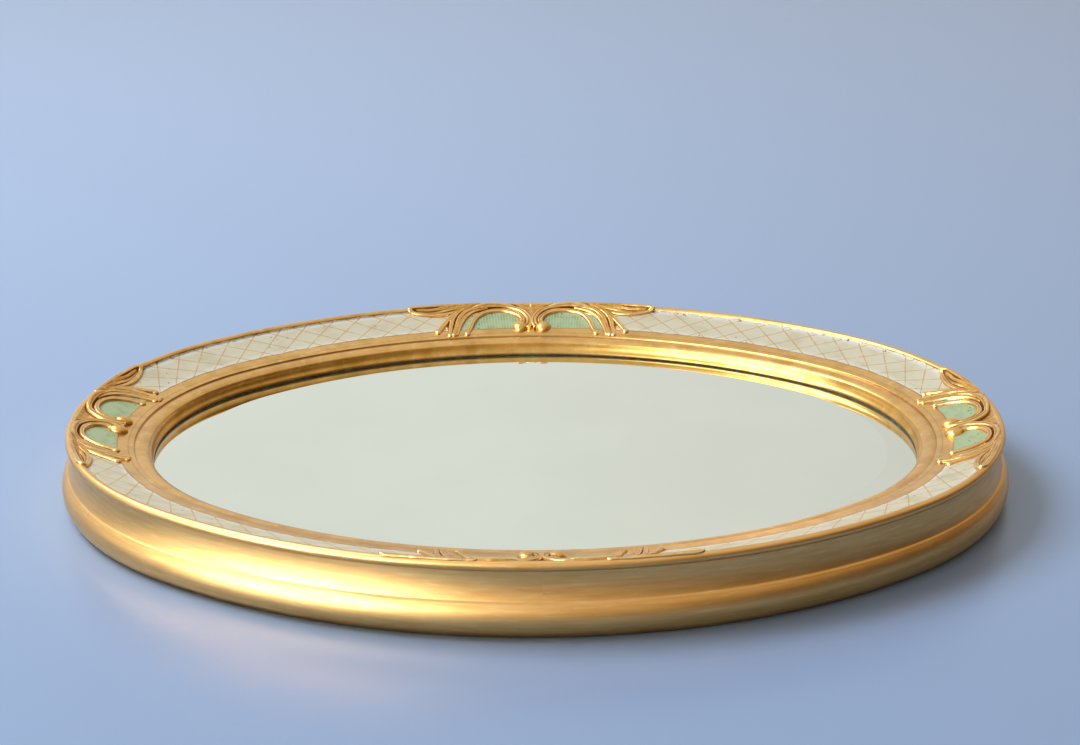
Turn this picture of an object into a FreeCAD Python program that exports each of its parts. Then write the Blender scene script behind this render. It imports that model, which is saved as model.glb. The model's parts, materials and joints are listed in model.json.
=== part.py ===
import FreeCAD, Part
import math
import os
import Sketcher

# Oval gilt mirror, lying on its back: long axis along X, glass facing +Z, back plane at z = 0.
# Offsets named "across" run outward from the sight edge, the inner edge of the moulding.

driving = {
    # the oval, drawn with four arcs that meet tangent to each other, jointAngle up from the long axis
    "overallLength": 490, "overallWidth": 390, "jointAngle": 49.7,
    # the two glued layers of the frame
    "frameHeight": 37, "baseHeight": 18, "faceWidth": 47,
    "baseBeadRadius": 11.6, "baseBeadMid": 9.6, "layerLedge": 0.8, "sideCoveRadius": 30,
    # the face of the moulding, from the glass outwards
    "lipHeight": 1.6, "coveWidth": 2.0, "coveHeight": 5.2, "coveRadius": 6,
    "ovoloWidth": 7.6, "ovoloRise": 1.4, "ovoloRadius": 8, "quirkDepth": 1.0,
    "bandWidth": 8.4, "bandRise": 1.5, "friezeWidth": 21, "rimRadius": 2.4, "rimWrapAngle": 40,
    # the glass and what holds it in the rabbet
    "lipCover": 7, "rabbetPlay": 1.5, "glassThickness": 4, "bevelWidth": 22, "bevelDrop": 1.8,
    "seatGap": 0.1, "cardThickness": 1.2, "boardThickness": 3, "boardPlay": 0.5,
    "slipLength": 12, "slipThickness": 1.3,
    "slipSpreadShare": 0.35,
    "sprigWidth": 1.4, "sprigLength": 16, "sprigBite": 9, "sprigSpreadShare": 0.6,
    # the dowels in the butt joints
    "dowelRadius": 3, "dowelLength": 30, "dowelEndGap": 1, "dowelAcross": 25, "faceDowelHeight": 5,
    # the ring hanger in its pocket, at one end of the long axis
    "plateLength": 40, "plateWidth": 12, "plateThickness": 1.4, "plateAcross": 10.5, "plateCornerRadius": 3,
    "knuckleReach": 1.5, "knuckleLength": 10, "knuckleWall": 0.9, "wireRadius": 1.3, "hingeClearance": 0.05,
    "ringWidth": 16, "ringCornerRadius": 2.4, "ringStraight": 4,
    "pocketDepth": 5, "pocketMargin": 1.4,
    "screwSpacing": 28, "screwRadius": 1.5, "screwLength": 12, "screwHeadRadius": 2.7,
    "screwSlotWidth": 0.6, "screwSlotDepth": 0.5,
    # the applied scrolls and leaves
    "strandHalfWidth": 1.5, "strandHeight": 1.35, "strandLift": 0.4,
    "leafHalfWidth": 3.3, "leafHeight": 1.7,
    "bossRadius": 4.1, "bossHeight": 2.6, "scrollLength": 68, "castingBed": 0.05,
}
# places on a spray: along it as shares of scrollLength, across as shares of friezeWidth from its inner edge
scrollShares = [(0.035, -0.10), (0.030, 0.34), (0.085, 0.74), (0.19, 0.98), (0.32, 1.04),
                (0.455, 0.95), (0.55, 0.70), (0.64, 0.27), (0.725, -0.26)]
innerScrollShares = [(0.105, 0.10), (0.12, 0.46), (0.18, 0.73), (0.28, 0.80), (0.39, 0.67), (0.50, 0.24),
                     (0.60, -0.26)]
shootShares = [(0.50, 0.88), (0.61, 0.62), (0.73, 0.24), (0.865, -0.15)]
leafShares = [(0.42, 0.96), (0.57, 0.88), (0.73, 0.80), (0.88, 0.87), (0.99, 1.00)]
bossShare = (0.1, 0.04)
leafWidthShares = [0.45, 0.75, 1.0, 0.80, 0.30]
leafHeightShares = [0.70, 0.90, 1.0, 0.90, 0.45]
strandTaperShares = [0.95, 0.70]
sprigsPerSegment = 3
ridgeShares = [(-1, -1.5), (-0.7, 1), (0.7, 1), (1, -1.5)]
bossShares = [(0.9, -1), (1, 0.35), (0.82, 0.75), (0.45, 1)]
# the flats round the rim bead, where castings are bedded on it: their corners' angles and half a flat's own
rimFlats = (157.5, 112.5, 67.5, 22.5, -22.5)
rimFlatHalf = 22.5
tolerance = 1e-6

doc = FreeCAD.newDocument("oval_mirror")
sheet = doc.addObject("Spreadsheet::Sheet", "sizes")
sheet.Label = "sizes"
for row, (alias, number) in enumerate(driving.items(), start=1):
    sheet.set(f"A{row}", alias)
    sheet.set(f"B{row}", str(number))
    sheet.setAlias(f"B{row}", alias)
doc.recompute()


# what follows from the driving sizes, written once as expressions
junction = "(sizes.jointAngle * 1 deg)"
sideSpread = "(90 deg - sizes.jointAngle * 1 deg)"
endCentre = (f"((sizes.overallLength - sizes.overallWidth) / 2"
             f" / (1 + tan({junction}) - 1 / cos({junction})))")
sideCentre = f"({endCentre} * tan({junction}))"
endSight = f"(sizes.overallLength / 2 - {endCentre} - sizes.faceWidth)"
sideSight = f"({sideCentre} + sizes.overallWidth / 2 - sizes.faceWidth)"
rabbetAcross = "(sizes.lipCover + sizes.rabbetPlay)"
beadCentre = "(sizes.faceWidth - sizes.baseBeadRadius)"
footAcross = f"({beadCentre} + sqrt(sizes.baseBeadRadius ^ 2 - sizes.baseBeadMid ^ 2))"
ledgeAcross = f"({beadCentre} + sqrt(sizes.baseBeadRadius ^ 2 - (sizes.baseHeight - sizes.baseBeadMid) ^ 2))"
arrisHeight = "(sizes.baseHeight + sizes.lipHeight + sizes.coveHeight)"
quirkAcross = "(sizes.coveWidth + sizes.ovoloWidth)"
quirkHeight = f"({arrisHeight} + sizes.ovoloRise)"
bandAcross = f"({quirkAcross} + sizes.bandWidth)"
bandHeight = f"({quirkHeight} + sizes.quirkDepth + sizes.bandRise)"
friezeAcross = f"({bandAcross} + sizes.friezeWidth)"
rimHeight = "(sizes.frameHeight - sizes.rimRadius)"
rimAcross = f"({friezeAcross} + sizes.rimRadius)"
glassEdge = "(sizes.glassThickness - sizes.bevelDrop)"
glassBack = (f"(sizes.baseHeight - sizes.seatGap - {glassEdge}"
             " - sizes.lipCover * sizes.bevelDrop / sizes.bevelWidth)")
boardTop = f"({glassBack} - sizes.cardThickness)"
boardBack = f"({boardTop} - sizes.boardThickness)"
sprigBottom = f"({boardBack} - sizes.seatGap - sizes.sprigWidth)"
dowelHole = "(sizes.dowelLength / 2 + sizes.dowelEndGap)"
faceDowelZ = "(sizes.baseHeight + sizes.faceDowelHeight)"
backDowelZ = "(sizes.baseHeight / 2)"
knuckleRadius = "(sizes.wireRadius + sizes.hingeClearance + sizes.knuckleWall)"
hingeAcross = "(sizes.plateAcross + sizes.plateWidth + sizes.knuckleReach)"
hingeHeight = f"(sizes.pocketDepth - {knuckleRadius})"
hingeX = f"({endCentre} + {endSight} + {hingeAcross})"
ringReach = "(sizes.ringStraight + sizes.ringWidth / 2 + sizes.wireRadius)"
pocketEnd = f"({hingeAcross} + {ringReach} + sizes.pocketMargin)"
plateLow = "(sizes.pocketDepth - sizes.plateThickness)"
screwAcross = "(sizes.plateAcross + sizes.plateWidth / 2)"
endSightX = f"({endCentre} + {endSight})"
sideSightY = "(sizes.overallWidth / 2 - sizes.faceWidth)"
zero = "0 * sizes.faceWidth"


def value(expression):
    """The number that an expression has now."""
    found = sheet.evalExpression(expression.replace("sizes.", ""))
    return float(found.Value) if hasattr(found, "Value") else float(found)


def originPart(body, role):
    for feature in body.Origin.OriginFeatures:
        if feature.Role == role:
            return feature


def newBody(label):
    body = doc.addObject("PartDesign::Body", label)
    body.Label = label
    return body


def newSketch(body, name, plane, turn=None, lift=None):
    """A sketch on one of the body's own planes, turned about its up axis or lifted off the plane."""
    sketch = body.newObject("Sketcher::SketchObject", name)
    sketch.AttachmentSupport = [(originPart(body, plane), "")]
    sketch.MapMode = "FlatFace"
    if lift:
        sketch.setExpression("AttachmentOffset.Base.z", lift)
    if turn:
        upright = FreeCAD.Vector(0, 1, 0)
        sketch.AttachmentOffset = FreeCAD.Placement(FreeCAD.Vector(), FreeCAD.Rotation(upright, 1))
        sketch.setExpression("AttachmentOffset.Rotation.Angle", turn)
    return sketch


def pin(sketch, kind, edge, point, expression, tag):
    """Holds one coordinate of a point of the sketch to an expression."""
    number = value(expression)
    sketch.addConstraint(Sketcher.Constraint(kind, -1, 1, edge, point, number))
    last = sketch.ConstraintCount - 1
    sketch.renameConstraint(last, tag)
    sketch.setExpression(f"Constraints.{tag}", expression)


def outline(sketch, corners):
    """A closed outline. Each corner is (across, up, bend): bend is None for a straight edge to the next
    corner, or (radius, turn, big), with turn +1 for an arc to the left and big for one past half a circle."""
    places = [(value(across), value(up)) for across, up, bend in corners]
    first = sketch.GeometryCount
    ends = []
    for index, (across, up, bend) in enumerate(corners):
        start = FreeCAD.Vector(*places[index], 0)
        end = FreeCAD.Vector(*places[(index + 1) % len(places)], 0)
        edge = first + index
        if bend is None:
            sketch.addGeometry(Part.LineSegment(start, end))
            ends.append((edge, 1, 2))
            continue
        radius, turn, big = value(bend[0]), bend[1], bend[2]
        chord = end - start
        rise = math.sqrt(radius ** 2 - (chord.Length / 2) ** 2)
        left = FreeCAD.Vector(-chord.y, chord.x, 0).normalize()
        centre = (start + end) * 0.5 + left * rise * turn * (-1 if big else 1)
        angles = [math.atan2(point.y - centre.y, point.x - centre.x) for point in (start, end)]
        circle = Part.Circle(centre, FreeCAD.Vector(0, 0, 1), radius)
        if turn > 0:
            sketch.addGeometry(Part.ArcOfCircle(circle, angles[0], angles[1]))
            ends.append((edge, 1, 2))
        else:
            sketch.addGeometry(Part.ArcOfCircle(circle, angles[1], angles[0]))
            ends.append((edge, 2, 1))
    for index, (across, up, bend) in enumerate(corners):
        edge, start, end = ends[index]
        following = ends[(index + 1) % len(ends)]
        sketch.addConstraint(Sketcher.Constraint("Coincident", edge, end, following[0], following[1]))
        pin(sketch, "DistanceX", edge, start, across, f"across{first + index}")
        pin(sketch, "DistanceY", edge, start, up, f"up{first + index}")
        if bend is not None:
            sketch.addConstraint(Sketcher.Constraint("Radius", edge, value(bend[0])))
            last = sketch.ConstraintCount - 1
            sketch.renameConstraint(last, f"radius{first + index}")
            sketch.setExpression(f"Constraints.radius{first + index}", bend[0])


def hole(sketch, across, up, radius):
    """A full circle in the sketch."""
    edge = sketch.GeometryCount
    centre = FreeCAD.Vector(value(across), value(up), 0)
    sketch.addGeometry(Part.Circle(centre, FreeCAD.Vector(0, 0, 1), value(radius)))
    pin(sketch, "DistanceX", edge, 3, across, f"across{edge}")
    pin(sketch, "DistanceY", edge, 3, up, f"up{edge}")
    sketch.addConstraint(Sketcher.Constraint("Radius", edge, value(radius)))
    sketch.renameConstraint(sketch.ConstraintCount - 1, f"radius{edge}")
    sketch.setExpression(f"Constraints.radius{edge}", radius)


def uprightAxis(sketch, across):
    """A construction line along which the sketch's up direction runs, as an axis to revolve about."""
    edge = sketch.GeometryCount
    foot = FreeCAD.Vector(value(across), 0, 0)
    top = FreeCAD.Vector(value(across), value("sizes.frameHeight"), 0)
    sketch.addGeometry(Part.LineSegment(foot, top), True)
    pin(sketch, "DistanceX", edge, 1, across, f"across{edge}")
    pin(sketch, "DistanceX", edge, 2, across, f"acrossTop{edge}")
    pin(sketch, "DistanceY", edge, 1, zero, f"up{edge}")
    pin(sketch, "DistanceY", edge, 2, "sizes.frameHeight", f"upTop{edge}")


def revolve(body, name, sketch, axis, angle, reverse=False, midplane=False):
    feature = body.newObject("PartDesign::Revolution", name)
    feature.Profile = sketch
    feature.ReferenceAxis = axis
    feature.setExpression("Angle", angle)
    feature.Reversed = reverse
    feature.Midplane = midplane
    doc.recompute()
    return feature


def pad(body, name, sketch, length, reverse=False, midplane=False):
    feature = body.newObject("PartDesign::Pad", name)
    feature.Profile = sketch
    feature.setExpression("Length", length)
    feature.Reversed = reverse
    feature.Midplane = midplane
    doc.recompute()
    return feature


def pocket(body, name, sketch, length, reverse=False, midplane=False):
    before = body.Shape.Volume
    feature = body.newObject("PartDesign::Pocket", name)
    feature.Profile = sketch
    feature.setExpression("Length", length)
    feature.Reversed = reverse
    feature.Midplane = midplane
    doc.recompute()
    if not body.Shape.Volume < before:
        raise RuntimeError(f"{name} of {body.Label} cuts nothing")
    return feature


def frontProfile(sight, sign=1):
    """The face moulding in section. sight is the place of the sight edge in the sketch."""
    wrap = "sizes.rimWrapAngle"
    points = [
        (zero, "sizes.baseHeight", None),
        (zero, "sizes.baseHeight + sizes.lipHeight", ("sizes.coveRadius", 1, False)),
        ("sizes.coveWidth", arrisHeight, ("sizes.ovoloRadius", -1, False)),
        (quirkAcross, quirkHeight, None),
        (quirkAcross, f"{quirkHeight} + sizes.quirkDepth", None),
        (bandAcross, bandHeight, None),
        (friezeAcross, rimHeight, ("sizes.rimRadius", -1, True)),
        (f"{rimAcross} + sizes.rimRadius * cos({wrap})", f"{rimHeight} - sizes.rimRadius * sin({wrap})",
         ("sizes.sideCoveRadius", 1, False)),
        (f"{ledgeAcross} - sizes.layerLedge", "sizes.baseHeight", None),
    ]
    return placed(points, sight, sign)


def backProfile(sight, sign=1):
    """The back layer in section, with the round base bead outside and the rabbet wall inside."""
    points = [
        (rabbetAcross, zero, None),
        (rabbetAcross, "sizes.baseHeight", None),
        (ledgeAcross, "sizes.baseHeight", ("sizes.baseBeadRadius", -1, False)),
        (footAcross, zero, None),
    ]
    return placed(points, sight, sign)


def placed(points, sight, sign):
    """Moves a section's points out to the sight edge, on either side of the sketch's up axis."""
    moved = []
    for across, up, bend in points:
        turned = None if bend is None else (bend[0], bend[1] * sign, bend[2])
        moved.append((f"{sign} * ({sight} + {across})", up, turned))
    return moved


def frontSegment(label, hand, half):
    """One quarter of the face layer: half an end arc and half a side arc. hand is +1 for the quarter
    from +X round to +Y and -1 for its mirror image, and half turns it by half a circle."""
    body = newBody(label)
    endSketch = newSketch(body, label + "_end_section", "XZ_Plane")
    outline(endSketch, frontProfile(endSightX))
    uprightAxis(endSketch, endCentre)
    revolve(body, label + "_end", endSketch, (endSketch, ["Axis0"]), junction, reverse=hand < 0)
    sideSketch = newSketch(body, label + "_side_section", "YZ_Plane")
    outline(sideSketch, frontProfile(sideSightY, hand))
    uprightAxis(sideSketch, f"{-hand} * {sideCentre}")
    revolve(body, label + "_side", sideSketch, (sideSketch, ["Axis0"]), sideSpread, reverse=hand > 0)

    endHole = newSketch(body, label + "_end_hole", "XZ_Plane")
    hole(endHole, f"{endSightX} + sizes.dowelAcross", faceDowelZ, "sizes.dowelRadius")
    pocket(body, label + "_end_dowel_hole", endHole, dowelHole, reverse=hand < 0)
    sideHole = newSketch(body, label + "_side_hole", "YZ_Plane")
    hole(sideHole, f"{hand} * ({sideSightY} + sizes.dowelAcross)", faceDowelZ, "sizes.dowelRadius")
    pocket(body, label + "_side_dowel_hole", sideHole, dowelHole, reverse=True)
    body.Placement = FreeCAD.Placement(FreeCAD.Vector(), FreeCAD.Rotation(FreeCAD.Vector(0, 0, 1), half))
    return body


def backSegment(label, arc, hanger):
    """One piece of the back layer, a single arc. It is drawn about its own arc's centre."""
    centreX, centreY, sight, spread, turn = arc
    body = newBody(label)
    section = newSketch(body, label + "_section", "XZ_Plane")
    outline(section, backProfile(sight))
    revolve(body, label + "_arc", section, (section, ["V_Axis"]), f"2 * ({spread})", midplane=True)
    if hanger:
        hangerPocket(body, label)
    firstSprig = f"-1 * sizes.sprigSpreadShare * {spread}"
    sprigHole = newSketch(body, label + "_sprig_hole", "YZ_Plane", turn=firstSprig)
    half = "(sizes.sprigWidth / 2)"
    outline(sprigHole, [(f"-1 * {half}", sprigBottom, None), (half, sprigBottom, None),
                        (half, f"{sprigBottom} + sizes.sprigWidth", None),
                        (f"-1 * {half}", f"{sprigBottom} + sizes.sprigWidth", None)])
    bitten = pocket(body, label + "_sprig_bite", sprigHole,
                    f"{sight} + {rabbetAcross} + sizes.sprigBite", reverse=True)
    pattern = body.newObject("PartDesign::PolarPattern", label + "_sprig_bites")
    pattern.Originals = [bitten]
    pattern.Axis = (originPart(body, "Z_Axis"), [""])
    pattern.Occurrences = sprigsPerSegment
    pattern.setExpression("Angle", f"2 * sizes.sprigSpreadShare * {spread}")
    body.Tip = pattern
    doc.recompute()
    dowelSketch = newSketch(body, label + "_hole", "XZ_Plane", turn=f"-1 * ({spread})")
    hole(dowelSketch, f"{sight} + sizes.dowelAcross", backDowelZ, "sizes.dowelRadius")
    drilled = pocket(body, label + "_dowel_hole", dowelSketch, dowelHole)
    mirrored = body.newObject("PartDesign::Mirrored", label + "_far_hole")
    mirrored.Originals = [drilled]
    mirrored.MirrorPlane = (originPart(body, "XZ_Plane"), [""])
    body.Tip = mirrored
    body.Placement = FreeCAD.Placement(FreeCAD.Vector(), FreeCAD.Rotation(FreeCAD.Vector(0, 0, 1), turn))
    body.setExpression("Placement.Base.x", centreX)
    body.setExpression("Placement.Base.y", centreY)
    doc.recompute()
    return body


def hangerPocket(body, label):
    """The T-shaped recess that keeps the ring hanger flush with the back, and its screw holes."""
    plateHalf = "(sizes.plateLength / 2 + sizes.pocketMargin)"
    ringHalf = "(sizes.ringWidth / 2 + sizes.wireRadius + sizes.pocketMargin)"
    plateEnd = f"({endSight} + sizes.plateAcross + sizes.plateWidth + sizes.pocketMargin)"
    ringEnd = f"({endSight} + {pocketEnd})"
    recess = newSketch(body, label + "_recess", "XY_Plane")
    outline(recess, [
        (endSight, f"-1 * {plateHalf}", None),
        (plateEnd, f"-1 * {plateHalf}", None),
        (plateEnd, f"-1 * {ringHalf}", None),
        (ringEnd, f"-1 * {ringHalf}", None),
        (ringEnd, ringHalf, None),
        (plateEnd, ringHalf, None),
        (plateEnd, plateHalf, None),
        (endSight, plateHalf, None),
    ])
    pocket(body, label + "_hanger_pocket", recess, "sizes.pocketDepth", reverse=True)
    screws = newSketch(body, label + "_screw_places", "XY_Plane")
    for side in (-1, 1):
        hole(screws, f"{endSight} + {screwAcross}", f"{side} * sizes.screwSpacing / 2", "sizes.screwRadius")
    pocket(body, label + "_screw_holes", screws, f"{plateLow} + sizes.screwLength", reverse=True)


def ovalOutline(sketch, across):
    """The four-centred oval at an offset outward from the sight edge."""
    endRadius = f"({endSight} + {across})"
    sideRadius = f"({sideSight} + {across})"
    reach = f"({endCentre} + {endRadius} * cos({junction}))"
    rise = f"({endRadius} * sin({junction}))"
    outline(sketch, [
        (reach, f"-1 * {rise}", (endRadius, 1, False)),
        (reach, rise, (sideRadius, 1, False)),
        (f"-1 * {reach}", rise, (endRadius, 1, False)),
        (f"-1 * {reach}", f"-1 * {rise}", (sideRadius, 1, False)),
    ])


def ovalSheet(label, across, thickness, bottom):
    """A flat oval sheet, such as the glass, the card or the board."""
    body = newBody(label)
    sketch = newSketch(body, label + "_outline", "XY_Plane")
    ovalOutline(sketch, across)
    pad(body, label + "_sheet", sketch, thickness)
    body.setExpression("Placement.Base.z", bottom)
    doc.recompute()
    return body


def chamferEdges(body, name, chosen, width):
    base = body.Tip
    feature = body.newObject("PartDesign::Chamfer", name)
    feature.Base = (base, chosen)
    feature.setExpression("Size", width)
    body.Tip = feature
    doc.recompute()


def mirrorGlass():
    """Silvered plate: a flat sheet as thick as its edge, and on it the bevel that rises to full thickness."""
    body = ovalSheet("mirror_glass", "sizes.lipCover", glassEdge, glassBack)
    foot = newSketch(body, "mirror_glass_bevel_foot", "XY_Plane", lift=glassEdge)
    ovalOutline(foot, "sizes.lipCover")
    top = newSketch(body, "mirror_glass_bevel_top", "XY_Plane", lift="sizes.glassThickness")
    ovalOutline(top, "(sizes.lipCover - sizes.bevelWidth)")
    bevel = body.newObject("PartDesign::AdditiveLoft", "mirror_glass_bevel")
    bevel.Profile = foot
    bevel.Sections = [top]
    bevel.Ruled = True
    doc.recompute()
    return body


def dowel(name, joint, height):
    """A beech dowel that crosses a butt joint square to it."""
    centreX, centreY, sight, direction = joint
    reach = f"({sight} + sizes.dowelAcross)"
    peg = doc.addObject("Part::Cylinder", name)
    peg.setExpression("Radius", "sizes.dowelRadius")
    peg.setExpression("Height", "sizes.dowelLength")
    turned = FreeCAD.Rotation(FreeCAD.Vector(0, 0, 1), value(direction) + 90)
    laid = FreeCAD.Rotation(FreeCAD.Vector(0, 1, 0), 90)
    peg.Placement = FreeCAD.Placement(FreeCAD.Vector(), turned * laid)
    peg.setExpression("Placement.Base.x", f"{centreX} + {reach} * cos({direction}) "
                      f"+ sizes.dowelLength / 2 * sin({direction})")
    peg.setExpression("Placement.Base.y", f"{centreY} + {reach} * sin({direction}) "
                      f"- sizes.dowelLength / 2 * cos({direction})")
    peg.setExpression("Placement.Base.z", height)
    return peg


def dowels():
    """One dowel in each of the eight butt joints. A joint is its arc's centre, sight edge and direction."""
    faceJoints = [(endCentre, zero, endSight, "0 deg"), (zero, f"-1 * {sideCentre}", sideSight, "90 deg"),
                  (f"-1 * {endCentre}", zero, endSight, "180 deg"), (zero, sideCentre, sideSight, "270 deg")]
    backJoints = [(endCentre, zero, endSight, junction), (endCentre, zero, endSight, f"-1 * {junction}"),
                  (f"-1 * {endCentre}", zero, endSight, f"180 deg - {junction}"),
                  (f"-1 * {endCentre}", zero, endSight, f"180 deg + {junction}")]
    for label, joints, height in (("face_joint_dowels", faceJoints, faceDowelZ),
                                  ("back_joint_dowels", backJoints, backDowelZ)):
        group(label, [dowel(f"{label}_{number}", joint, height) for number, joint in enumerate(joints)])


def group(label, members):
    """Like pieces that share one name, as separate solids."""
    gathered = doc.addObject("Part::Compound", label)
    gathered.Label = label
    gathered.Links = members
    doc.recompute()
    return gathered


arcs = [(endCentre, zero, endSight, junction, 0), (zero, f"-1 * {sideCentre}", sideSight, sideSpread, 90),
        (f"-1 * {endCentre}", zero, endSight, junction, 180), (zero, sideCentre, sideSight, sideSpread, 270)]


def glassSlips():
    """Thin wooden slips between the glass edge and the rabbet wall, two on each arc."""
    slips = []
    for centreX, centreY, sight, spread, turn in arcs:
        for side in (-1, 1):
            angle = f"({turn} deg + {side} * sizes.slipSpreadShare * {spread})"
            radius = f"({sight} + sizes.lipCover)"
            slip = doc.addObject("Part::Box", f"glass_slip_{len(slips)}")
            slip.setExpression("Length", "sizes.slipThickness")
            slip.setExpression("Width", "sizes.slipLength")
            slip.setExpression("Height", glassEdge)
            turned = FreeCAD.Rotation(FreeCAD.Vector(0, 0, 1), value(angle))
            slip.Placement = FreeCAD.Placement(FreeCAD.Vector(), turned)
            slip.setExpression("Placement.Base.x", f"{centreX} + {radius} * cos({angle}) "
                               f"+ sizes.slipLength / 2 * sin({angle})")
            slip.setExpression("Placement.Base.y", f"{centreY} + {radius} * sin({angle}) "
                               f"- sizes.slipLength / 2 * cos({angle})")
            slip.setExpression("Placement.Base.z", glassBack)
            slips.append(slip)
    group("glass_slips", slips)


def sprigs():
    """Square cut nails without heads, driven into the rabbet wall, that hold the board in."""
    nails = []
    for centreX, centreY, sight, spread, turn in arcs:
        for step in range(sprigsPerSegment):
            share = 2 * step / (sprigsPerSegment - 1) - 1
            angle = f"({turn} deg + {share} * sizes.sprigSpreadShare * {spread})"
            radius = f"({sight} + {rabbetAcross} + sizes.sprigBite - sizes.sprigLength)"
            nail = doc.addObject("Part::Box", f"sprig_{len(nails)}")
            nail.setExpression("Length", "sizes.sprigLength")
            nail.setExpression("Width", "sizes.sprigWidth")
            nail.setExpression("Height", "sizes.sprigWidth")
            turned = FreeCAD.Rotation(FreeCAD.Vector(0, 0, 1), value(angle))
            nail.Placement = FreeCAD.Placement(FreeCAD.Vector(), turned)
            nail.setExpression("Placement.Base.x", f"{centreX} + {radius} * cos({angle}) "
                               f"+ sizes.sprigWidth / 2 * sin({angle})")
            nail.setExpression("Placement.Base.y", f"{centreY} + {radius} * sin({angle}) "
                               f"- sizes.sprigWidth / 2 * cos({angle})")
            nail.setExpression("Placement.Base.z", sprigBottom)
            nails.append(nail)
    group("backing_sprigs", nails)


def hangerPlate():
    """A brass plate with a rolled knuckle at its middle, screwed into the pocket."""
    body = newBody("hanger_plate")
    low, far = "sizes.plateAcross", "(sizes.plateAcross + sizes.plateWidth)"
    half, bend = "(sizes.plateLength / 2)", "sizes.plateCornerRadius"
    tongue = "(sizes.knuckleLength / 2)"
    blank = newSketch(body, "hanger_plate_blank", "XY_Plane")
    outline(blank, [
        (low, f"{bend} - {half}", (bend, 1, False)),
        (f"{low} + {bend}", f"-1 * {half}", None),
        (f"{far} - {bend}", f"-1 * {half}", (bend, 1, False)),
        (far, f"{bend} - {half}", None),
        (far, f"-1 * {tongue}", None),
        (hingeAcross, f"-1 * {tongue}", None),
        (hingeAcross, tongue, None),
        (far, tongue, None),
        (far, f"{half} - {bend}", (bend, 1, False)),
        (f"{far} - {bend}", half, None),
        (f"{low} + {bend}", half, (bend, 1, False)),
        (low, f"{half} - {bend}", None),
    ])
    for side in (-1, 1):
        hole(blank, screwAcross, f"{side} * sizes.screwSpacing / 2", "sizes.screwRadius")
    pad(body, "hanger_plate_sheet", blank, "sizes.plateThickness")
    radius = value("sizes.screwRadius")
    sunk = [f"Edge{n}" for n, edge in enumerate(body.Tip.Shape.Edges, start=1)
            if edge.Curve.TypeId == "Part::GeomCircle" and abs(edge.Curve.Radius - radius) < tolerance
            and abs(edge.Curve.Center.z) < tolerance]
    chamferEdges(body, "hanger_plate_countersinks", sunk, "(sizes.screwHeadRadius - sizes.screwRadius)")
    roll = newSketch(body, "hanger_plate_roll", "XZ_Plane")
    hole(roll, hingeAcross, f"{hingeHeight} - {plateLow}", knuckleRadius)
    pad(body, "hanger_plate_knuckle", roll, "sizes.knuckleLength", midplane=True)
    bore = newSketch(body, "hanger_plate_bore", "XZ_Plane")
    hole(bore, hingeAcross, f"{hingeHeight} - {plateLow}", "sizes.wireRadius + sizes.hingeClearance")
    pocket(body, "hanger_plate_knuckle_bore", bore, "sizes.plateLength", midplane=True)
    body.setExpression("Placement.Base.x", endSightX)
    body.setExpression("Placement.Base.z", plateLow)
    doc.recompute()
    return body


def hangerRing():
    """A D-shaped wire ring. Its straight bar turns in the knuckle."""
    body = newBody("hanger_ring")
    half, bend, straight = "(sizes.ringWidth / 2)", "sizes.ringCornerRadius", "sizes.ringStraight"
    path = newSketch(body, "hanger_ring_path", "XY_Plane")
    outline(path, [
        (zero, zero, None),
        (zero, f"{half} - {bend}", (bend, -1, False)),
        (bend, half, None),
        (straight, half, (half, -1, False)),
        (f"{straight} + {half}", zero, (half, -1, False)),
        (straight, f"-1 * {half}", None),
        (bend, f"-1 * {half}", (bend, -1, False)),
        (zero, f"{bend} - {half}", None),
    ])
    wire = newSketch(body, "hanger_ring_section", "XZ_Plane")
    hole(wire, zero, zero, "sizes.wireRadius")
    ring = body.newObject("PartDesign::AdditivePipe", "hanger_ring_wire")
    ring.Profile = wire
    ring.Spine = path
    doc.recompute()
    body.setExpression("Placement.Base.x", hingeX)
    body.setExpression("Placement.Base.z", hingeHeight)
    doc.recompute()
    return body


def hangerScrews():
    """Two countersunk wood screws with slotted heads, flush with the plate."""
    screws = []
    for side in (-1, 1):
        across = f"{endSightX} + {screwAcross}"
        along = f"{side} * sizes.screwSpacing / 2"
        shank = doc.addObject("Part::Cylinder", f"screw_shank_{len(screws)}")
        shank.setExpression("Radius", "sizes.screwRadius")
        shank.setExpression("Height", "sizes.screwLength")
        head = doc.addObject("Part::Cone", f"screw_head_{len(screws)}")
        head.setExpression("Radius1", "sizes.screwHeadRadius")
        head.setExpression("Radius2", "sizes.screwRadius")
        head.setExpression("Height", "sizes.screwHeadRadius - sizes.screwRadius")
        slot = doc.addObject("Part::Box", f"screw_slot_{len(screws)}")
        slot.setExpression("Length", "2 * sizes.screwHeadRadius")
        slot.setExpression("Width", "sizes.screwSlotWidth")
        slot.setExpression("Height", "sizes.screwSlotDepth")
        for piece in (shank, head):
            piece.setExpression("Placement.Base.x", across)
            piece.setExpression("Placement.Base.y", along)
            piece.setExpression("Placement.Base.z", plateLow)
        slot.setExpression("Placement.Base.x", f"{across} - sizes.screwHeadRadius")
        slot.setExpression("Placement.Base.y", f"{along} - sizes.screwSlotWidth / 2")
        slot.setExpression("Placement.Base.z", plateLow)
        blank = doc.addObject("Part::Fuse", f"screw_blank_{len(screws)}")
        blank.Base, blank.Tool = head, shank
        screw = doc.addObject("Part::Cut", f"screw_{len(screws)}")
        screw.Base, screw.Tool = blank, slot
        screws.append(screw)
    group("hanger_screws", screws)


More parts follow.
